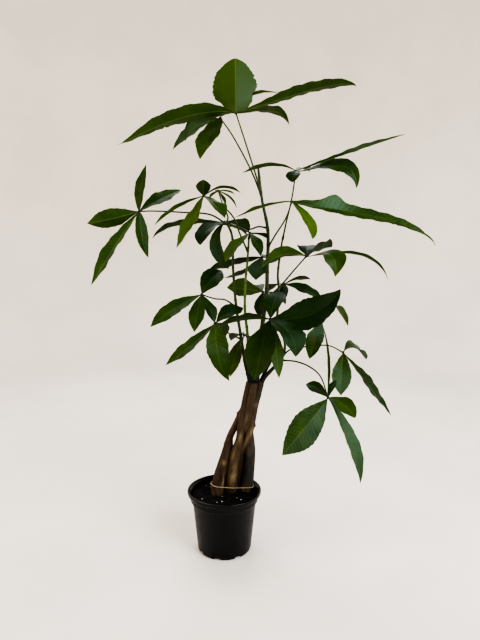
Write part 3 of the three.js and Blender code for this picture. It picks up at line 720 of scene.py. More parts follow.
def per_mm(size):
    """The scale at which a pattern's lumps are about size millimetres across."""
    return 1 / (size * MM)


def raising(height, depth):
    """Sockets of a bump whose height, from 0 to 1, stands for depth millimetres."""
    return {"Strength": 1.0, "Distance": depth * MM, "Height": height}


# Settings that a user may change


def colour_property(name, description, code):
    """A colour in the sidebar whose default is an sRGB hex code."""
    return bpy.props.FloatVectorProperty(
        name=name, description=description, default=linear(code)[:3], min=0, max=1, size=3, subtype="COLOR")


def factor_property(name, description, default):
    """A share from 0 to 1 in the sidebar."""
    return bpy.props.FloatProperty(
        name=name, description=description, default=default, min=0, max=1, subtype="FACTOR")


def size_property(name, description, millimetres):
    """A length in the sidebar, kept in metres."""
    return bpy.props.FloatProperty(
        name=name, description=description, default=millimetres * MM, min=0, subtype="DISTANCE",
        unit="LENGTH")


def power_property(name, description, watts):
    """A light's power in the sidebar."""
    return bpy.props.FloatProperty(name=name, description=description, default=watts, min=0, unit="POWER")


class MoneyTreePotSettings(bpy.types.PropertyGroup):
    """Sizes and finish of the nursery pot."""

    wall: size_property("Wall", "Thickness of the moulded wall", 1.5)
    colour: colour_property("Plastic", "Colour of the moulded plastic", "#050608")
    roughness: factor_property("Roughness", "How matt the plastic is", 0.38)


class MoneyTreeSoilSettings(bpy.types.PropertyGroup):
    """Make-up of the potting mix."""

    colour: colour_property("Peat", "Colour of the damp peat", "#0b0806")
    crumbs: bpy.props.IntProperty(
        name="Bark crumbs", description="How many crumbs of bark lie on top", default=620, min=0)
    perlite: bpy.props.IntProperty(
        name="Perlite grains", description="How many white grains lie about on top", default=16, min=0)
    seed: bpy.props.IntProperty(name="Seed", description="Start of the draws that scatter them", default=11)


class MoneyTreeTrunkSettings(bpy.types.PropertyGroup):
    """Bark of the braided stems."""

    dark: colour_property("Bark", "Colour of the weathered bark", "#3a2a18")
    mid: colour_property("Dry bark", "Colour of the bark where it is dry", "#453420")
    # The tan colour also paints highlights on the stems, not only wear.
    tan: colour_property("Worn bark", "Colour where the bark has worn thin", "#83704f")
    grey_dark: colour_property("Grey bark", "Colour of the grey stem's bark", "#272421")
    grey_mid: colour_property("Dry grey bark", "Colour of the grey stem's bark where it is dry", "#3a3530")
    relief: size_property("Relief", "Height of the bark's ridges", 0.4)


class MoneyTreeTieSettings(bpy.types.PropertyGroup):
    """Twine round the foot of the braid."""

    height: size_property("Twine height", "Height of the twine above the pot's underside", 132)
    tilt: bpy.props.FloatProperty(
        name="Twine tilt", description="How far the twine drops for each metre to the right", default=0.14)


class MoneyTreeLeafSettings(bpy.types.PropertyGroup):
    """Blades, veins and colours of the leaves."""

    old: colour_property("Old blade", "Colour of the darkest blades", "#123206")
    young: colour_property("Young blade", "Colour of the brightest blades", "#52700f")
    through: colour_property("Light through", "Colour of the light that comes through a blade", "#869a1c")
    # The sheen colour is painted light: it stands in for the window's reflection on glossy blades.
    painted_sheen_colour: colour_property("Sheen", "Colour of the cool sheen on some blades", "#628264")
    share: factor_property("See-through", "Share of the light that comes through a blade", 0.3)
    vein_spacing: size_property("Vein spacing", "Distance between side veins along the midrib", 7.5)
    thickness: size_property("Thickness", "Thickness of a blade", 0.7)
    gloss: factor_property("Upper roughness", "How matt the waxy upper face is", 0.38)


class MoneyTreeStageSettings(bpy.types.PropertyGroup):
    """Floor, light and camera."""

    floor: colour_property("Floor", "Colour of the floor and the curved backdrop", "#f1e9dc")
    key: power_property("Key light", "Power of the large light at the right", 84)
    fill: power_property("Fill light", "Power of the warm light at the left", 20)
    top: power_property("Top light", "Power of the light above and behind", 40)
    low: power_property("Low light", "Power of the cool light low in front", 4)
    exposure: bpy.props.FloatProperty(
        name="Exposure", description="Exposure of the picture, in stops", default=-0.35)


SETTINGS = {
    "money_tree_pot": MoneyTreePotSettings,
    "money_tree_soil": MoneyTreeSoilSettings,
    "money_tree_trunk": MoneyTreeTrunkSettings,
    "money_tree_ties": MoneyTreeTieSettings,
    "money_tree_leaf": MoneyTreeLeafSettings,
    "money_tree_stage": MoneyTreeStageSettings,
}


# Materials


def moulded_polypropylene(settings):
    """Injection-moulded polypropylene: near black and satin, polished along the lip, with faint scuffs."""
    material, add = new_material("moulded_polypropylene")
    place = add(PLACE)
    scuff = add(NOISE, place, per_mm(9), 8, 0.7)
    colour = painted(add, (*settings.colour, 1), (add(SMOOTH, scuff, 0.58, 0.78, 0, 0.3), "#121317"))
    rough = add(SMOOTH, scuff, 0.3, 0.75, settings.roughness - 0.07, settings.roughness + 0.14)
    rough = add(BETWEEN, add(READ, attribute_name="lip"), rough, 0.2)
    normal = add(BUMP, sockets=raising(add(NOISE, place, per_mm(1.6), 2, 0.55), 0.035))
    return finished(material, add, {
        "Base Color": colour, "Roughness": rough, "Normal": normal, "IOR": 1.45, "Specular IOR Level": 0.34})


def damp_peat(settings):
    """Damp peat: nearly black, matt and crumbly, a little paler where its crumbs have dried."""
    material, add = new_material("damp_peat")
    place = add(PLACE)
    clods = add(NOISE, place, per_mm(7), 6, 0.65)
    dust = add(NOISE, place, per_mm(1.4), 4, 0.7)
    colour = painted(add, linear("#040302"), (add(SMOOTH, clods, 0.35, 0.7), (*settings.colour, 1)),
                     (add(SMOOTH, dust, 0.58, 0.78, 0, 0.45), "#1a130d"))
    normal = add(BUMP, sockets=raising(dust, 1.2))
    return finished(material, add, {"Base Color": colour, "Roughness": 0.95, "Normal": normal, "IOR": 1.4})


def composted_bark():
    """Composted bark chips: brown to black, matt and fibrous, each lump a shade of its own."""
    material, add = new_material("composted_bark")
    place = add(PLACE)
    shade = add(NOISE, place, per_mm(6), 1, 0.55)
    colour = painted(add, linear("#080604"), (add(SMOOTH, shade, 0.35, 0.65), "#22180f"))
    normal = add(BUMP, sockets=raising(add(NOISE, place, per_mm(0.8), 3, 0.55), 0.4))
    return finished(material, add, {"Base Color": colour, "Roughness": 0.88, "Normal": normal, "IOR": 1.45})


def expanded_perlite():
    """Expanded perlite: white volcanic glass foam, dusty and dull, stained by the peat in places."""
    material, add = new_material("expanded_perlite")
    place = add(PLACE)
    stain = add(NOISE, place, per_mm(5), 2, 0.55)
    colour = painted(add, linear("#cfc8bb"), (add(SMOOTH, stain, 0.5, 0.72), "#6d5f4e"))
    normal = add(BUMP, sockets=raising(add(NOISE, place, per_mm(0.9), 2, 0.55), 0.3))
    return finished(material, add, {"Base Color": colour, "Roughness": 0.9, "Normal": normal, "IOR": 1.5})


def living_bark(name, dark, mid, tan):
    """Thin living bark: brown or grey and matt, tan for wear and painted highlight, painted shade nearly
    black in cracks.
    """
    material, add = new_material(name)
    place = add(PLACE)
    relief = add(READ, attribute_name="relief")
    drawn = add(MAPPING, sockets={"Vector": place, "Scale": (1, 1, 0.3)})
    mottle = add(NOISE, drawn, per_mm(7), 5, 0.6)
    fleck = add(NOISE, place, per_mm(1.7), 3, 0.6)
    worn = add(TIMES, add(READ, attribute_name="worn"), add(SMOOTH, mottle, 0.25, 0.55, 0.35, 1.0))
    colour = painted(
        add, dark,
        (add(SMOOTH, mottle, 0.3, 0.72), mid),
        # Tan over the worn mask: real wear in places, painted highlights in others
        (worn, tan),
        (add(SMOOTH, relief, 0.55, 0.95, 0, 0.35), "#665038"),
        (add(SMOOTH, fleck, 0.6, 0.78, 0, 0.4), "#7d694d"),
        (add(READ, attribute_name="green"), "#242a11"),
        # Painted shade: near black laid into the cracks where the relief sinks
        (add(SMOOTH, relief, 0.36, 0.04, 0, 0.75), "#110b07"))
    rough = add(SMOOTH, relief, 0.2, 0.9, 0.85, 0.6)
    normal = add(BUMP, sockets=raising(add(NOISE, drawn, per_mm(1.6), 6, 0.7), 0.4))
    return finished(material, add, {"Base Color": colour, "Roughness": rough, "Normal": normal, "IOR": 1.45})


def jute_twine():
    """Two-ply jute twine: straw yellow, dull and hairy, darker between its plies."""
    material, add = new_material("jute_twine")
    fibre = add(NOISE, add(PLACE), per_mm(0.5), 3, 0.7)
    colour = painted(add, linear("#857348"), (add(SMOOTH, fibre, 0.35, 0.7), "#c9bb92"))
    normal = add(BUMP, sockets=raising(fibre, 0.25))
    return finished(material, add, {"Base Color": colour, "Roughness": 0.85, "Normal": normal, "IOR": 1.5})


def stretch_tape():
    """Stretched plastic grafting tape: nearly black green and satin, with stretch lines round it."""
    material, add = new_material("stretch_tape")
    squeezed = add(MAPPING, sockets={"Vector": add(PLACE), "Scale": (0.12, 0.12, 1.0)})
    lines = add(NOISE, squeezed, per_mm(0.9), 2, 0.55)
    colour = painted(add, linear("#040f0d"), (add(SMOOTH, lines, 0.35, 0.68), "#0b211c"))
    normal = add(BUMP, sockets=raising(lines, 0.25))
    return finished(material, add, {
        "Base Color": colour, "Roughness": 0.55, "Normal": normal, "IOR": 1.45, "Specular IOR Level": 0.3})


def green_shoot():
    """Green shoot skin: smooth, waxy and green, nearly black and corky at the foot and the leaf scars."""
    material, add = new_material("green_shoot")
    place = add(PLACE)
    drawn = add(MAPPING, sockets={"Vector": place, "Scale": (1, 1, 0.18)})
    streak = add(NOISE, drawn, per_mm(1.6), 3, 0.55)
    fleck = add(NOISE, place, per_mm(1.1), 2, 0.55)
    corky = add(SMOOTH, add(TIMES_PLUS, streak, 0.4, add(READ, attribute_name="cork")), 0.35, 0.95)
    colour = painted(
        add, linear("#16240c"),
        (add(READ, attribute_name="tone"), "#587426"),
        (add(SMOOTH, streak, 0.4, 0.7, 0, 0.3), "#3f5520"),
        (corky, "#1f2112"),
        (add(SMOOTH, fleck, 0.66, 0.74, 0, 0.25), "#6b6848"))
    rough = add(SMOOTH, corky, 0, 1, 0.42, 0.8)
    normal = add(BUMP, sockets=raising(streak, 0.3))
    return finished(material, add, {"Base Color": colour, "Roughness": rough, "Normal": normal, "IOR": 1.42})


def leaf_blade(settings):
    """Fresh leathery blade: waxy and dark above, matt and paler below, pale veins; light comes through it. A
    cool painted sheen stands in for the window's reflection on some blades.
    """
    material, add = new_material("leaf_blade")
    place = add(PLACE)
    rank, off_rib, off_margin, age, upper, stalk, dryness, cool = (
        add(READ, attribute_name=name) for name in BLADE_VALUES)
    patches = add(NOISE, place, per_mm(26), 2, 0.55)
    cells = add(CELLS, place, per_mm(2.6))
    speckle = add(NOISE, place, per_mm(3.2), 4, 0.55)

    clear_of_margin = add(SMOOTH, off_margin, 0.5, 5, 0.15, 1)
    side_vein = add(TIMES, add(SMOOTH, add(FOLDED, rank, 0.5), 0.1, 0.02), clear_of_margin)
    midrib = add(SMOOTH, off_rib, 1.0, 0.45)
    net = add(SMOOTH, cells, 0.09, 0.0)

    uneven = add(TIMES, add(LESS, patches, 0.5), 0.45)
    # Tone mixes each leaflet's age with painted light: backlit leaflets were made brighter, shaded ones
    # darker
    tone = add(SMOOTH, add(PLUS, age, uneven), 0.0, 1.0)
    pale = add(TIMES_PLUS, tone, 0.75, 0.25)
    # Painted sheen: a cool colour over both faces where some glossy blades would reflect the window
    painted_sheen_colour = (*settings.painted_sheen_colour, 1)
    above = painted(
        add, (*settings.old, 1),
        (tone, (*settings.young, 1)),
        (add(SMOOTH, speckle, 0.45, 0.7, 0, 0.16), "#3f5f16"),
        (cool, painted_sheen_colour),
        (add(TIMES, side_vein, add(TIMES, pale, 0.3)), "#5f7a30"),
        (add(TIMES, midrib, add(TIMES, pale, 0.7)), "#728a3a"))
    below = painted(
        add, linear("#1d370d"),
        (tone, "#47671b"),
        (cool, painted_sheen_colour),
        (add(TIMES, net, 0.2), "#516b2c"),
        (add(TIMES, side_vein, add(TIMES, pale, 0.5)), "#6b8440"),
        (add(TIMES, midrib, pale), "#788c48"))
    dry = add(SMOOTH, add(TIMES_PLUS, speckle, 0.4, dryness), 0.45, 1.15)
    colour = painted(
        add, below,
        (upper, above),
        (add(SMOOTH, off_margin, 0.7, 0.1, 0, 0.35), "#5f6c34"),
        (dry, "#595126"),
        (stalk, painted(add, linear("#1c260e"), (tone, "#46591f"))))

    waxy = add(SMOOTH, speckle, 0.3, 0.7, settings.gloss - 0.05, settings.gloss + 0.1)
    rough = add(BETWEEN, dry, add(BETWEEN, upper, 0.56, waxy), 0.8)
    height = add(TIMES_PLUS, net, -0.25, add(TIMES, side_vein, -0.6))
    height = add(TIMES_PLUS, speckle, 0.35, height)
    normal = add(BUMP, sockets=raising(height, 0.3))
    skin = add(PRINCIPLED, sockets={
        "Base Color": colour, "Roughness": rough, "Normal": normal, "IOR": 1.46, "Specular IOR Level": 0.3})

    shine = painted(
        add, linear("#455c0c"),
        (add(TIMES, tone, 0.8), (*settings.through, 1)),
        (add(TIMES, add(LARGER, side_vein, midrib), 0.4), "#4c5c1a"),
        (dry, "#5c551e"))
    light = add(TRANSLUCENT, shine, normal)
    share = add(SMOOTH, stalk, 0, 1, settings.share, 0)
    add(OUTPUT, add(MIX_SHADER, share, skin, light))
    return material


def painted_backdrop(settings):
    """Matt painted plaster: pale and even, with a very slight mottle."""
    material, add = new_material("painted_backdrop")
    mottle = add(SMOOTH, add(NOISE, add(PLACE), per_mm(420), 3, 0.55), 0.3, 0.7)
    darker = (*(0.93 * c for c in settings.floor), 1)
    colour = painted(add, darker, (mottle, (*settings.floor, 1)))
    return finished(material, add, {"Base Color": colour, "Roughness": 0.85, "IOR": 1.45})


# Pot


def arc(centre, radius, start, stop, count):
    """Points on an arc of a profile, angles in degrees from straight out towards up."""
    turn = np.radians(np.linspace(start, stop, count))
    return [(centre[0] + radius * math.cos(a), centre[1] + radius * math.sin(a)) for a in turn]


def straight(first, last, count):
    """Points between two corners of a profile, without the corners."""
    share = np.linspace(0, 1, count + 2)[1:-1]
    return [(first[0] + (last[0] - first[0]) * s, first[1] + (last[1] - first[1]) * s) for s in share]


class MONEYTREE_OT_pot(bpy.types.Operator):
    """Build the nursery pot: a lathed wall with its rolled lip and collar, on a ring of eight feet."""

    bl_idname = "moneytree.pot"
    bl_label = "Nursery Pot"
    sharp = 40

    def execute(self, context):
        settings = context.scene.money_tree_pot
        low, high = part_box("pot")
        top = high.z / MM
        lip = (high.x - low.x) / 2 / MM
        wall = settings.wall / MM
        profile = np.array(self.underside(lip) + self.outside(lip, top) + self.inside(lip, top, wall))
        shape = Shape()
        on_lip = ease(top - 9, top - 6, profile[:, 1])[:, None]
        shape.add_rings(self.turned(profile, lip - FOOT_IN), lip=on_lip)
        plastic = moulded_polypropylene(settings)
        piece = make_piece("nursery_pot", shape, plastic, "pot_plastic", "pot", self.sharp)
        self.drill(piece, lip - FOOT_IN)
        return {"FINISHED"}

    def underside(self, lip):
        """The profile from the middle pad, over the raised underside, round the foot."""
        foot = lip - FOOT_IN
        pad, under = PAD_RADIUS, UNDERSIDE_HEIGHT
        return [
            (0.01, 0), *straight((0, 0), (pad - 1, 0), 2),
            *arc((pad - 1, 1), 1, -90, -20, 4),
            (pad + 1.6, under - 0.8), (pad + 2.4, under),
            *straight((pad + 2.4, under), (foot - 8.6, under), 4),
            (foot - 8.6, under), (foot - 7.8, under - 0.6), (foot - 6.4, 0.8),
            *arc((foot - 5.4, 1), 1, 200, 270, 4),
            *arc((foot - 3.8, 4.2), 4.2, -90, -8, 9),
        ]

    def outside(self, lip, top):
        """The profile up the wall, out over the ridge, up the collar and round the rolled lip."""
        collar, neck, foot, ridge = lip - COLLAR_IN, lip - NECK_IN, lip - FOOT_IN, top - COLLAR_HEIGHT
        return [
            *straight((foot + 0.4, 5.5), (neck, ridge - 4), 22),
            (neck, ridge - 4), (neck + 0.35, ridge - 2.4), (neck + 1.4, ridge - 1.3),
            *arc((collar - 1.4, ridge + 0.6), 1.4, -80, 0, 6),
            (collar, ridge + 2.6), (collar - 0.5, ridge + 4.2), (collar - 0.8, ridge + 6),
            *straight((collar - 0.8, ridge + 6), (collar + 0.1, top - 8.2), 4),
            (collar + 0.1, top - 8.2), (collar + 0.7, top - 7.4), (collar + 1.8, top - 7.1),
            *arc((lip - 1.6, top - 5.6), 1.6, -85, 0, 6),
            (lip, top - 3.6),
            *arc((lip - 1.9, top - 1.9), 1.9, 0, 100, 8),
        ]

    def inside(self, lip, top, wall):
        """The profile from the lip down the inner face to the middle of the floor."""
        collar, neck, foot, ridge = (
            lip - COLLAR_IN - wall, lip - NECK_IN - wall, lip - FOOT_IN - wall, top - COLLAR_HEIGHT)
        floor = FLOOR_HEIGHT
        return [
            (lip - 3.6, top - 0.5), (lip - 5.2, top - 3.2), (collar + 0.3, top - 5.6),
            *straight((collar + 0.3, top - 5.6), (collar, ridge + 3), 4),
            (collar, ridge + 3), (collar - 0.6, ridge), (neck, ridge - 3),
            *straight((neck, ridge - 3), (foot, floor + 2), 12),
            (foot, floor + 2), (foot - 0.6, floor + 0.6), (foot - 2, floor),
            *straight((foot - 2, floor), (0, floor), 5), (0.01, floor),
        ]

    def turned(self, profile, foot):
        """The profile carried round the axis; between the feet its low points rise to the height of a notch.

        Each notch is a bell-shouldered window in arc length, one between every two neighbouring lobes.
        """
        around = 384
        notch_half, notch_end = 6.4, 8.6
        turn = -full_turn(around)
        nearest = ((np.degrees(turn) - LOBE_TURN) % LOBE_STEP) - LOBE_STEP / 2
        away = np.abs(np.radians(nearest)) * foot
        notch = NOTCH_HEIGHT * (1 - ease(notch_half, notch_end, away))
        radius, height = profile[:, 0][:, None], profile[:, 1][:, None]
        in_ring = (radius > foot - 14) & (height < 6)
        lifted = np.where(in_ring, np.maximum(height, notch), height)
        return lathed(radius, lifted, turn)

    def drill(self, piece, foot):
        """Cuts a drain hole through the floor between every two lobes, with one Boolean, applied at once."""
        cutter = Shape()
        for place in range(LOBES):
            turn = math.radians(LOBE_STEP * (place + 0.5) + LOBE_TURN)
            out = foot - DRAIN_IN
            centre = np.array([out * math.cos(turn), out * math.sin(turn), 0])
            cutter.add_tube(centre + np.array([[0, 0, -1], [0, 0, FLOOR_HEIGHT + 2]]), DRAIN_RADIUS, 24)
        mesh = bpy.data.meshes.new("drain_cutter")
        faces = np.concatenate(cutter.quads).tolist() + np.concatenate(cutter.triangles).tolist()
        mesh.from_pydata(np.concatenate(cutter.points) * MM, [], faces)
        holes = linked("drain_cutter", mesh)
        cut = piece.modifiers.new("drain", "BOOLEAN")
        cut.operation = "DIFFERENCE"
        cut.solver = "EXACT"
        cut.object = holes
        made = piece.evaluated_get(bpy.context.evaluated_depsgraph_get())
        drilled = bpy.data.meshes.new_from_object(made)
        piece.modifiers.clear()
        piece.data = drilled
        bpy.data.objects.remove(holes)
        drilled.set_sharp_from_angle(angle=math.radians(self.sharp))


# Soil


def soil_height(x, y, seed):
    """The top of the mix: a low mound round the braid, long swells, and clods of two sizes."""
    away = np.hypot(x - BRAID_CENTRE[1][0], y - BRAID_CENTRE[1][1]) / SOIL_MOUND_RADIUS
    swell = 0.77 * (np.sin(x * 0.31 + y * 0.12) + np.sin(y * 0.27 - x * 0.19))
    u, v = x / 140 + 0.5, y / 140 + 0.5
    clods = 1.3 * lattice_noise(seed, u, v, 16, 16) + 0.8 * lattice_noise(seed + 1, u, v, 42, 42)
    return SOIL_TOP + SOIL_MOUND * np.exp(-(away ** 2)) + swell + clods


class MONEYTREE_OT_soil(bpy.types.Operator):
    """Fill the pot: a lumpy peat surface, with loose bark crumbs and white perlite scattered over it."""

    bl_idname = "moneytree.soil"
    bl_label = "Potting Mix"
    turn = full_turn(220)

    def execute(self, context):
        settings = context.scene.money_tree_soil
        low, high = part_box("soil")
        edge = (high.x - low.x) / 2 / MM
        shape = Shape()
        shape.add_rings(np.concatenate([self.side(edge), self.top(edge, settings.seed)]))
        make_piece("peat_surface", shape, damp_peat(settings), "soil", "soil")
        self.scatter("bark_crumbs", settings, settings.crumbs, (1.0, 3.4), 1.9, composted_bark(), 5, edge)
        grains = settings.perlite + len(PERLITE_SPOTS)
        self.scatter("perlite_grains", settings, grains, (0.8, 1.9), 1.15, expanded_perlite(), 9, edge,
                     PERLITE_SPOTS)
        return {"FINISHED"}

    def side(self, edge):
        """Rings from the middle of the pot's floor out and up its wall, to just under the rim of the mix."""
        foot = FLOOR_HEIGHT + 0.3
        profile = np.array([(0.3, foot), (53, foot), (64, SOIL_TOP - 13), (edge, SOIL_TOP - 7)])
        return lathed(profile[:, :1], profile[:, 1:], self.turn)

    def top(self, edge, seed):
        """Rings from the rim to the middle, at the mix's height, held down beside the pot's wall."""
        radius = edge * np.linspace(1, 0.004, 74)[:, None]
        x, y = radius * np.cos(self.turn), radius * np.sin(self.turn)
        height = soil_height(x, y, seed)
        height = np.where(radius > edge - 5, np.minimum(height, SOIL_TOP + 1.5), height)
        return lathed(radius, height, self.turn)

    def scatter(self, name, settings, count, size_range, stretch, material, seed, edge, placed=()):
        """Seeded lumps, evenly thick over the disc, half sunk in the peat; the first may have set places."""
        draw = np.random.default_rng(settings.seed * 100 + seed)
        radius = (edge - 2) * np.sqrt(draw.uniform(0, 1, count))
        turn = draw.uniform(0, 2 * np.pi, count)
        x, y = radius * np.cos(turn), radius * np.sin(turn)
        size = size_range[0] + (size_range[1] - size_range[0]) * draw.beta(1.3, 3.2, count)
        if placed:
            x[:len(placed)], y[:len(placed)] = np.transpose(placed)
            size[:len(placed)] = size_range[1]
        z = soil_height(x, y, settings.seed) + 0.25 * size
        long, flat = draw.uniform(1, stretch, count), draw.uniform(0.5, 0.9, count)
        sizes = size[:, None] * np.column_stack([long, np.ones(count), flat])
        yaw, tip = draw.uniform(0, 2 * np.pi, count), draw.normal(0, 0.45, count)
        cy, sy, ct, st = np.cos(yaw), np.sin(yaw), np.cos(tip), np.sin(tip)
        rows = [(cy * ct, -sy, cy * st), (sy * ct, cy, sy * st), (-st, np.zeros(count), ct)]
        turns = np.stack([np.stack(row, -1) for row in rows], axis=1)
        shape = Shape()
        shape.add_lumps(np.column_stack([x, y, z]), sizes, turns, draw.uniform(-0.22, 0.22, (count, 6, 3)))
        make_piece(name, shape, material, "soil", sharp=20)


# Trunk


def stem_line(name):
    """The middle line of a stem and its radius at each point of it, without the bark's relief."""
    stem = STEMS[name]
    levels = zip(BRAID_HEIGHTS, BRAID_CENTRE, stem["offsets"])
    path = smooth_path([(cx + dx, cy + dy, z) for z, (cx, cy), (dx, dy) in levels], STEM_RINGS)
    return path, np.interp(path[:, 2], BRAID_HEIGHTS, stem["radii"])


def bark_relief(seed, u, v, length):
    """Bark height from -1 to 1, a sum of lattice noises: long flutes, ridges, cracks and fine wrinkles."""
    warp = 0.05 * lattice_noise(seed + 9, u, v, 5, 12)
    flutes = lattice_noise(seed, u + warp, v, 7, max(4, round(length / 46)))
    ridges = lattice_noise(seed + 1, u + warp, v, 17, round(length / 17))
    cracks = bell(lattice_noise(seed + 2, u + warp, v, 15, round(length / 20)) / 0.1)
    wrinkles = lattice_noise(seed + 3, u, v, 30, round(length / 3.4))
    return 0.62 * flutes + 0.36 * ridges - 0.3 * cracks + 0.14 * wrinkles


def facing_off(out, facing):
    """The angle in degrees between the way that each point faces, seen from above, and a heading."""
    return (np.degrees(np.arctan2(out[..., 1], out[..., 0])) - facing + 180) % 360 - 180


def facing_share(out, height, patch):
    """How much of a patch reaches each point: a bell in height and in the way that the point faces."""
    z, facing, half_height, half_turn, strength = patch
    return strength * bell((height - z) / half_height) * bell(facing_off(out, facing) / half_turn)


class MONEYTREE_OT_trunk(bpy.types.Operator):
    """Build the five braided stems, fluted, cracked tubes of bark with pruned knobs and tan patches of wear
    and painted highlight.
    """

    bl_idname = "moneytree.trunk"
    bl_label = "Braided Trunk"

    def execute(self, context):
        settings = context.scene.money_tree_trunk
        tan = (*settings.tan, 1)
        brown = living_bark("living_bark", (*settings.dark, 1), (*settings.mid, 1), tan)
        grey = living_bark("grey_living_bark", (*settings.grey_dark, 1), (*settings.grey_mid, 1), tan)
        for index, name in enumerate(STEMS):
            material, slot = (grey, "grey_bark") if name == GREY_STEM else (brown, "bark")
            shape = self.stem(name, 40 + 10 * index, settings.relief / MM)
            make_piece(name + "_bark", shape, material, slot, name)
        return {"FINISHED"}

    def stem(self, name, seed, depth):
        """One stem: a circle carried up its line, pushed out by the bark's relief and by its knobs.

        Relief is calmer on the tan patches, wear and painted highlight alike, and grows with the stem's
        radius.
        """
        sides = 60
        path, radius = stem_line(name)
        out = circles(path, sides)
        share = np.linspace(0, 1, STEM_RINGS)[:, None] * np.ones(sides)
        u = np.ones((STEM_RINGS, 1)) * full_turn(sides) / (2 * np.pi)
        relief = bark_relief(seed, u, share, run_of(path)[-1])
        height = path[:, 2][:, None] * np.ones(sides)
        # The worn mask gathers the tan patches: wear and painted highlights alike
        worn = sum(facing_share(out, height, patch) for patch in TAN_WEAR_AND_HIGHLIGHTS[name])
        calm = 1 - 0.5 * np.clip(worn, 0, 1)
        push = depth * relief * calm * np.clip(radius / 11, 0.6, 1.2)[:, None]
        for z, facing, reach, size in KNOBS[name]:
            share_here = facing_share(out, height, (z, facing, size, math.degrees(size / 9), 1.0))
            push = push + reach * share_here * (1 + 0.4 * relief)
        to_top = np.linspace(STEM_RINGS, 0, STEM_RINGS)
        rounding = np.minimum(1, to_top / 3)[:, None] ** 0.5
        reach = (radius[:, None] + push) * (0.75 + 0.25 * rounding)
        rings = path[:, None] + out * reach[..., None]
        rings[..., 2] = np.minimum(rings[..., 2], BRAID_HEIGHTS[-1] + 1)
        toward = ease(284, 330, height) * bell(facing_off(out, -50) / 70)
        green = 0.9 * toward * (name in GREEN_STEMS)
        shape = Shape()
        relief = 0.5 + 0.5 * np.clip(relief, -1, 1)
        shape.add_rings(rings, relief=relief, worn=np.clip(worn, 0, 1), green=green)
        return shape


# Ties


def tight_outline(carriers, z, clear, samples):
    """The line that a band pulled tight round some stems takes at a height, kept clear of them.

    In every direction the stem that reaches furthest carries it.
    """
    turn = full_turn(samples)
    out = np.column_stack([np.cos(turn), np.sin(turn), np.zeros(samples)])
    centres, radii = [], []
    for path, radius in carriers:
        tangent = unit(np.gradient(path, axis=0))
        centres.append([np.interp(z, path[:, 2], path[:, k]) for k in range(3)])
        radii.append(np.interp(z, path[:, 2], radius / tangent[:, 2]))
    centres, radii = np.array(centres), np.array(radii)
    reach = centres @ out.T + radii[:, None]
    best = reach.argmax(axis=0)
    line = centres[best] + out * (radii[best] + clear)[:, None]
    line[:, 2] = z
    return line


def closed_even(line, count):
    """A closed line with its points at even lengths."""
    return even(np.vstack([line, line[:1]]), count + 1)[:-1]


class MONEYTREE_OT_ties(bpy.types.Operator):
    """Tie the braid: two-ply twine round its foot, and a band of tape round the shoots at its top."""

    bl_idname = "moneytree.ties"
    bl_label = "Twine and Tape"

    def execute(self, context):
        self.twine(context.scene.money_tree_ties)
        self.tape()
        return {"FINISHED"}

    def twine(self, settings):
        """Two plies wound round the tight outline, each a small circle carried along a helix about it."""
        ply, pitch, points, sides = 0.62, 5.2, 560, 8
        carriers = [stem_line(name) for name in STEMS]
        line = tight_outline(carriers, settings.height / MM, 1.2, 240)
        line[:, 2] -= settings.tilt * (line[:, 0] - BRAID_CENTRE[1][0])
        line = closed_even(line, points)
        tangent = unit(np.roll(line, -1, axis=0) - np.roll(line, 1, axis=0))
        across = unit(np.cross(tangent, UP))
        length = np.linalg.norm(np.roll(line, -1, axis=0) - line, axis=1).sum()
        turns = round(length / pitch)
        lift = np.cross(across, tangent)
        shape = Shape()
        for start in (0, np.pi):
            wind = np.arange(points) * (2 * np.pi * turns / points) + start
            centre = line + ply * (across * np.cos(wind)[:, None] + lift * np.sin(wind)[:, None])
            turn = full_turn(sides)[None, :, None]
            ring = across[:, None] * np.cos(turn) - lift[:, None] * np.sin(turn)
            rings = centre[:, None] + ring * (ply * 1.05)
            rows, columns = rings.shape[:2]
            quads = ring_quads(rows + 1, columns) % (rows * columns)
            shape.add(rings.reshape(-1, 3), quads[:, ::-1])
        make_piece("base_twine", shape, jute_twine(), "string", "base_string")

    def tape(self):
        """A flat band: a rounded upright section carried round the tight outline, its edges a little uneven.

        Both edges wave by a sum of two sines of the turn, and the band's middle stays still.
        """
        low, high = TAPE_HEIGHTS
        middle = (low + high) / 2
        samples, points = 200, 240
        carriers = []
        for name in TAPED_SHOOTS:
            shoot = SHOOTS[name]
            path = smooth_path(shoot["points"], points)
            carriers.append((path, np.linspace(shoot["foot"], shoot["tip"], points)))
        section = [(0.4, low), (0.4, high), (0.7, high + 0.3), (1.3, high), (1.65, high - 1), (1.6, middle),
                   (1.65, low + 1), (1.3, low), (0.7, low - 0.3)]
        turn = full_turn(samples)
        waves = 0.5 * (np.sin(2 * turn + 1) + 0.6 * np.sin(5 * turn))
        rows = []
        for clear, z in section:
            line = tight_outline(carriers, z, clear, samples)
            line[:, 2] += np.sign(z - middle) * ease(2, 7, abs(z - middle)) * waves
            rows.append(line)
        rings = np.stack(rows, axis=1)
        quads = ring_quads(samples + 1, len(section)) % (samples * len(section))
        shape = Shape()
        shape.add(rings.reshape(-1, 3), quads)
        make_piece("grafting_tape", shape, stretch_tape(), "tape", "top_tape")


# Shoots


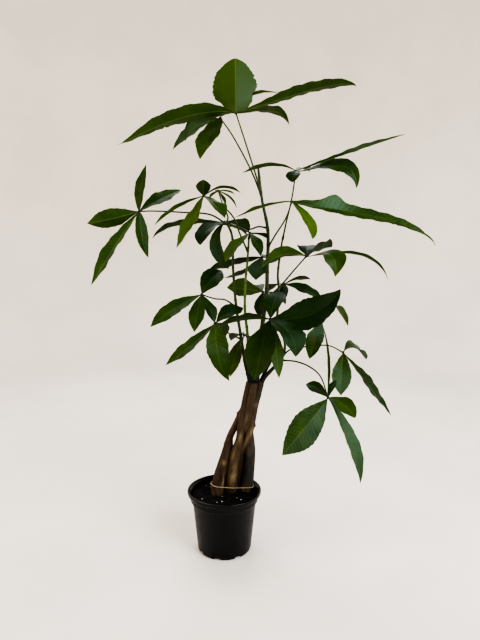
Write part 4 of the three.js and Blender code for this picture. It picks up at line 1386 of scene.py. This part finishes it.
class MONEYTREE_OT_shoots(bpy.types.Operator):
    """Build the five green shoots, each a tapering tube that swells at its leaf scars."""

    bl_idname = "moneytree.shoots"
    bl_label = "Green Shoots"

    def execute(self, context):
        skin = green_shoot()
        for index, (name, shoot) in enumerate(SHOOTS.items()):
            path, radius, cork = self.shoot(shoot, 70 + index)
            shape = Shape()
            shape.add_tube(path, radius, 16, cork=cork, tone=shoot["tone"])
            make_piece(name + "_skin", shape, skin, "green_stem", name)
        return {"FINISHED"}

    def shoot(self, shoot, seed):
        """A shoot's line, its radius at each point and how corky it is there.

        The radius goes evenly from foot to tip. At each leaf scar a wide bell swells it and a narrow one
        makes a ridge. Cork covers the ridges, and fades out up from the foot.
        """
        length = run_of(smooth_path(shoot["points"], 40))[-1]
        path = smooth_path(shoot["points"], round(length / 1.3))
        share = np.linspace(0, 1, len(path))
        run = share * length
        scars = np.cumsum(np.random.default_rng(seed).uniform(16, 34, 30))
        scars = scars[scars < length - 12]
        ridge = np.exp(-((run[:, None] - scars) / 1.6) ** 2).sum(axis=1)
        swell = np.exp(-((run[:, None] - scars) / 5.5) ** 2).sum(axis=1)
        radius = shoot["foot"] + (shoot["tip"] - shoot["foot"]) * share
        radius = radius * (1 + 0.05 * swell) + 0.35 * ridge
        radius[-3:] *= (0.95, 0.8, 0.5)
        cork = np.clip(0.9 * (1 - ease(20, 150, run)) + 0.55 * ridge, 0, 1)
        return path, radius, cork


# Leaves


def blade_halves(blade, place):
    """Half the blade's width along it: a sine over a warped length, so that it is widest where it should be.

    A short stalk leads into it, and a blade with a tail keeps a narrow strip to its tip.
    """
    power = math.log(0.5) / math.log(blade.widest)
    t = np.clip(place / blade.tail, 0, 1)
    body = np.maximum(np.sin(np.pi * t ** power), 0) ** blade.taper * (1 - 0.3 * t ** 8)
    stalk = 0.9 * np.clip(1 - place * blade.length / 14, 0, 1) ** 0.5
    tail = 2.9 * np.clip((1 - place) / 0.06, 0, 1) ** 0.6 if blade.tail < 1 else 0
    return np.maximum(np.maximum(blade.width / 2 * body, tail), np.maximum(stalk, 0.22))


def midrib_at(blade, hub, phase, place):
    """The midrib at a place along it, and the blade's side.

    It is the chord, raised by the arch, a power of the place times a power of what is left of the length, as
    in the frame, and led off it by a slight sway, the nod and the hook.
    """
    h, r = math.radians(blade.heading), math.radians(blade.rise)
    along = np.array([math.cos(r) * math.cos(h), math.cos(r) * math.sin(h), math.sin(r)])
    side = unit(np.cross(along, UP))
    peak, length = blade.peak, blade.length
    arch = blade.arch * (place / peak) ** (2 * peak) * ((1 - place) / (1 - peak)) ** (2 * (1 - peak))
    up = arch - blade.nod * place ** 8
    sway = 0.012 * length * math.sin(2.3 * phase) * np.sin(np.pi * place)
    aside = sway + blade.hook * place ** 6
    run = HUB_CLEAR + (length - HUB_CLEAR) * place
    line = hub + along * run[..., None] + np.cross(side, along) * up[..., None] + side * aside[..., None]
    return line, side


def blade_lift(s, v, rank, half, length, veins, phase, wave_length):
    """How far the blade stands above its midrib.

    It folds up from the midrib by v times the half width, ripples along its margin by two sines, the finer
    one cubed in v, and bulges between side veins by a cosine of the vein's rank.
    """
    edge = np.abs(v)
    small = np.clip((half - 2) / 16, 0, 1)
    fold = (np.sqrt(v ** 2 + 0.0036) - 0.06) * half * BLADE_FOLD
    ripple = edge ** 1.5 * BLADE_RIPPLE * half * np.sin(phase + 9 * s + v) * small
    wave = edge ** 3 * np.sin(2 * np.pi * s * length / wave_length + 3 * v + phase) * small
    between_veins = (1 - edge ** 3) * np.minimum(1, half / 10) * ease(0.02, 0.2, edge)
    return fold + ripple + wave - 0.2 * np.cos(2 * np.pi * rank * veins) * between_veins


def blade_marks(key, s, v, half, spread_out, length):
    """How withered a blade is, from its own blotches, and how much painted sheen it carries in place of a
    reflection.
    """
    dry = np.zeros_like(s)
    for place, place_across, size in BLOTCHES.get(key, []):
        gap = np.hypot((s - place) * length, spread_out - place_across * half)
        dry = np.maximum(dry, bell(gap / size))
    side, place, reach, strength = PAINTED_SHEEN.get(key, (0, 0.5, 0.5, 0))
    on_side = 1.0 if side == 0 else ease(-0.02, 0.06, v * side)
    return dry, strength * bell((s - place) / reach) * on_side


def add_leaflet(shape, key, hub, blade, phase, settings):
    """Adds one leaflet: an arched midrib carrying a folded, wavy blade with sunken side veins.

    Along s it follows the midrib and across v, from -1 to 1, it leaves it by v times the half width, turned
    about the midrib by the twist. Rows slant forward with v so that each side vein follows one row. The two
    faces stand half the thickness off the blade's middle, with a groove above the midrib and a keel below.
    """
    length = blade.length
    draw = np.random.default_rng(round(1000 + 37 * phase))
    veins = int(np.clip(round(length / (settings.vein_spacing / MM)), 5, 30))
    per_vein = 5
    columns = np.arange(-7, 8)
    v = (np.sign(columns) * np.abs(columns / 7) ** 1.6)[None, :]
    edge = np.abs(v)
    rank = np.linspace(0, 1, veins * per_vein + 1)[:, None]
    slant = 0.5 * edge * blade_halves(blade, rank) / length
    s = np.clip(rank + slant * (1 + 0.35 * edge), 0, 1)

    centre, side = midrib_at(blade, hub, phase, s)
    ahead, behind = np.minimum(1, s + 0.02), np.maximum(0, s - 0.02)
    tangent = unit(midrib_at(blade, hub, phase, ahead)[0] - midrib_at(blade, hub, phase, behind)[0])
    turned = np.radians(blade.twist + blade.turn * s)[..., None]
    across = unit(side * np.cos(turned) + np.cross(tangent, side) * np.sin(turned))
    normal = unit(np.cross(across, tangent))

    half = blade_halves(blade, s)
    bite = np.ones_like(half)
    for bite_side, place, size, deep in BITES.get(key, []):
        bite = bite - deep * bell((s - place) * length / size) * (np.sign(v) == bite_side)
    uneven = 1 + 0.02 * np.sin(2 * np.pi * rank * length / 11 + 5 * phase) * edge ** 3
    flap_side, flap_place, flap_reach, flap_spread = blade.flap
    flare = flap_reach * bell((s - flap_place) / flap_spread) * (np.sign(v) == flap_side)
    reach = (half + flare) * bite * uneven
    spread_out = v * reach
    lift = blade_lift(s, v, rank, half, length, veins, phase, draw.uniform(26, 36)) + 0.4 * flare * edge
    middle = centre + across * spread_out[..., None] + normal * lift[..., None]

    thickness = settings.thickness / MM * (0.5 + 0.5 * (1 - edge ** 4))
    stalk_thick = 1.3 * np.clip(1 - s * length / 12, 0, 1)
    groove = 0.28 * bell(v / 0.05) * (half > 3)
    keel = (1.15 - 0.8 * s) * bell(v / 0.055) * np.minimum(1, half / 5)
    upper = middle + normal * ((thickness + stalk_thick) / 2 - groove)[..., None]
    lower = middle - normal * ((thickness + stalk_thick) / 2 + keel)[..., None]
    rings = np.concatenate([upper, lower[:, ::-1]], axis=1)
    rings[..., 2] = np.minimum(rings[..., 2], CAD_BOX[1][2] / MM - TOP_CLEAR)

    def both(value):
        """The values of the upper face, and the same ones in the lower face's order."""
        value = np.broadcast_to(value, s.shape)
        return np.concatenate([value, value[:, ::-1]], axis=1)

    # The sheen is painted reflection, carried in the cool value
    dry, sheen = blade_marks(key, s, v, half, spread_out, length)
    upper_side = np.concatenate([np.ones_like(s), np.zeros_like(s)], axis=1)
    stalk = both(1 - ease(4, 12, s * length))
    shape.add_rings(
        rings, rank=both(rank * veins), off_rib=both(np.abs(spread_out)), off_margin=both((1 - edge) * reach),
        tone=blade.tone, upper=upper_side, stalk=stalk, dry=both(dry), cool=both(sheen))


def add_stalk(shape, petiole, tone):
    """Adds a leaf's stalk, swollen at both ends, and the small disc at its top where the leaflets meet."""
    path = smooth_path(petiole, 30)
    length = run_of(path)[-1]
    path = smooth_path(petiole, max(12, round(length / 3)))
    run = run_of(path)
    share = run / run[-1]
    radius = 1.8 - 0.5 * share + 0.9 * np.exp(-((run - 4) / 5) ** 2)
    radius += 0.6 * np.exp(-((run[-1] - run) / 5) ** 2)
    plain = dict(zip(BLADE_VALUES, (0.25, 9.0, 9.0, tone, 0.0, 1.0, 0.0, 0.0)))
    shape.add_tube(path, radius, 10, **plain)
    turn = np.linspace(-np.pi / 2, np.pi / 2, 9)[1:-1]
    axis = unit(path[-1] - path[-3])
    disc = path[-1] + axis * (2.4 * np.sin(turn))[:, None]
    shape.add_tube(disc, 3.3 * np.cos(turn) ** 0.8, 14, **plain)


class MONEYTREE_OT_leaves(bpy.types.Operator):
    """Build the twenty leaves, each a stalk and its fan of veined, folded leaflets."""

    bl_idname = "moneytree.leaves"
    bl_label = "Leaves"

    def execute(self, context):
        settings = context.scene.money_tree_leaf
        material = leaf_blade(settings)
        for index, (name, leaf) in enumerate(LEAVES.items()):
            shape = Shape()
            tones = [blade.tone for blade in leaf.blades]
            add_stalk(shape, leaf.petiole, sum(tones) / len(tones))
            hub = np.array(leaf.petiole[-1], float)
            for place, blade in enumerate(leaf.blades):
                add_leaflet(shape, (name, place), hub, blade, index + 1.7 * place, settings)
            make_piece(name + "_blades", shape, material, "leaf", name, sharp=55)
        return {"FINISHED"}


# Stage


def add_area_light(name, place, target, size, power, code):
    """A large soft light that looks at a point."""
    data = bpy.data.lights.new(name, "AREA")
    data.shape = "RECTANGLE"
    data.size, data.size_y = size
    data.energy = power
    data.color = linear(code)[:3]
    light = linked(name, data)
    back = np.array(place, float) - np.array(target, float)
    light.location = place
    yaw = math.atan2(back[1], back[0]) + math.pi / 2
    light.rotation_euler = (math.acos(back[2] / np.linalg.norm(back)), 0, yaw)


class MONEYTREE_OT_stage(bpy.types.Operator):
    """Set up the studio: a pale round floor that curves up into a backdrop, soft lights and the camera."""

    bl_idname = "moneytree.stage"
    bl_label = "Stage and Camera"

    def execute(self, context):
        settings = context.scene.money_tree_stage
        self.backdrop(settings)
        for name, (place, target, size, power, code) in LIGHTS.items():
            add_area_light(name, place, target, size, getattr(settings, power), code)
        world = bpy.data.worlds.new("soft_room")
        world.use_nodes = True
        world.node_tree.nodes["Background"].inputs["Color"].default_value = linear("#e9e7e4")
        world.node_tree.nodes["Background"].inputs["Strength"].default_value = 0.75
        context.scene.world = world
        context.scene.view_settings.view_transform = "AgX"
        context.scene.view_settings.look = "AgX - Very High Contrast"
        context.scene.view_settings.exposure = settings.exposure
        data = bpy.data.cameras.new("photo_camera")
        data.sensor_width = CAMERA_SENSOR
        data.lens = CAMERA_LENS
        data.clip_start, data.clip_end = 0.01, 50
        camera = linked("photo_camera", data)
        camera.location = CAMERA_PLACE
        camera.rotation_euler = (math.radians(90 + CAMERA_PITCH), 0, 0)
        context.scene.camera = camera
        return {"FINISHED"}

    def backdrop(self, settings):
        """A disc, a quarter circle up its rim and an upright wall, in one surface turned round the pot."""
        steps, around = 14, 96
        flat = np.linspace(0.002, FLOOR_RADIUS, steps)
        bend = np.radians(np.linspace(0, 90, steps))[1:]
        wall = np.linspace(1.1, WALL_TOP, 6)
        radius = np.concatenate([
            flat, FLOOR_RADIUS + FLOOR_BEND * np.sin(bend), np.full(6, FLOOR_RADIUS + FLOOR_BEND)])
        height = np.concatenate([np.zeros(steps), FLOOR_BEND * (1 - np.cos(bend)), wall]) - FLOOR_GAP
        rows = len(radius)
        points = lathed(radius[:, None], height[:, None], full_turn(around)).reshape(-1, 3)
        centre = np.array([[0, 0, -FLOOR_GAP]])
        middle = np.arange(around)
        fan = np.stack([np.full(around, rows * around), middle, (middle + 1) % around], axis=-1)
        quads = ring_quads(rows, around)[:, ::-1]
        mesh = bpy.data.meshes.new("studio_floor")
        mesh.from_pydata(np.vstack([points, centre]), [], quads.tolist() + fan.tolist())
        mesh.shade_smooth()
        mesh.materials.append(painted_backdrop(settings))
        floor = linked("studio_floor", mesh)


# Panel and registration

OPERATORS = [MONEYTREE_OT_pot, MONEYTREE_OT_soil, MONEYTREE_OT_trunk, MONEYTREE_OT_ties, MONEYTREE_OT_shoots,
             MONEYTREE_OT_leaves, MONEYTREE_OT_stage]


class VIEW3D_PT_money_tree(bpy.types.Panel):
    """Sidebar panel that lists the plant's pieces and their settings."""

    bl_label = "Potted Money Tree"
    bl_space_type = "VIEW_3D"
    bl_region_type = "UI"
    bl_category = "Money Tree"

    def draw(self, context):
        for operator in OPERATORS:
            self.layout.operator(operator.bl_idname)
        for holder, group in SETTINGS.items():
            box = self.layout.box()
            box.label(text=group.__doc__)
            for name in group.__annotations__:
                box.prop(getattr(context.scene, holder), name)


CLASSES = [*SETTINGS.values(), *OPERATORS, VIEW3D_PT_money_tree]


def register():
    """Registers the classes and hangs each group of settings on the scene."""
    for cls in CLASSES:
        bpy.utils.register_class(cls)
    for holder, group in SETTINGS.items():
        setattr(bpy.types.Scene, holder, bpy.props.PointerProperty(type=group))


def unregister():
    """Takes the settings off the scene and removes the classes."""
    for holder in SETTINGS:
        delattr(bpy.types.Scene, holder)
    for cls in reversed(CLASSES):
        bpy.utils.unregister_class(cls)


def main():
    """Builds every piece in order."""
    register()
    bpy.ops.moneytree.stage()
    bpy.ops.moneytree.pot()
    bpy.ops.moneytree.soil()
    bpy.ops.moneytree.trunk()
    bpy.ops.moneytree.ties()
    bpy.ops.moneytree.shoots()
    bpy.ops.moneytree.leaves()
    bpy.context.view_layer.update()


if __name__ == "__main__":
    main()
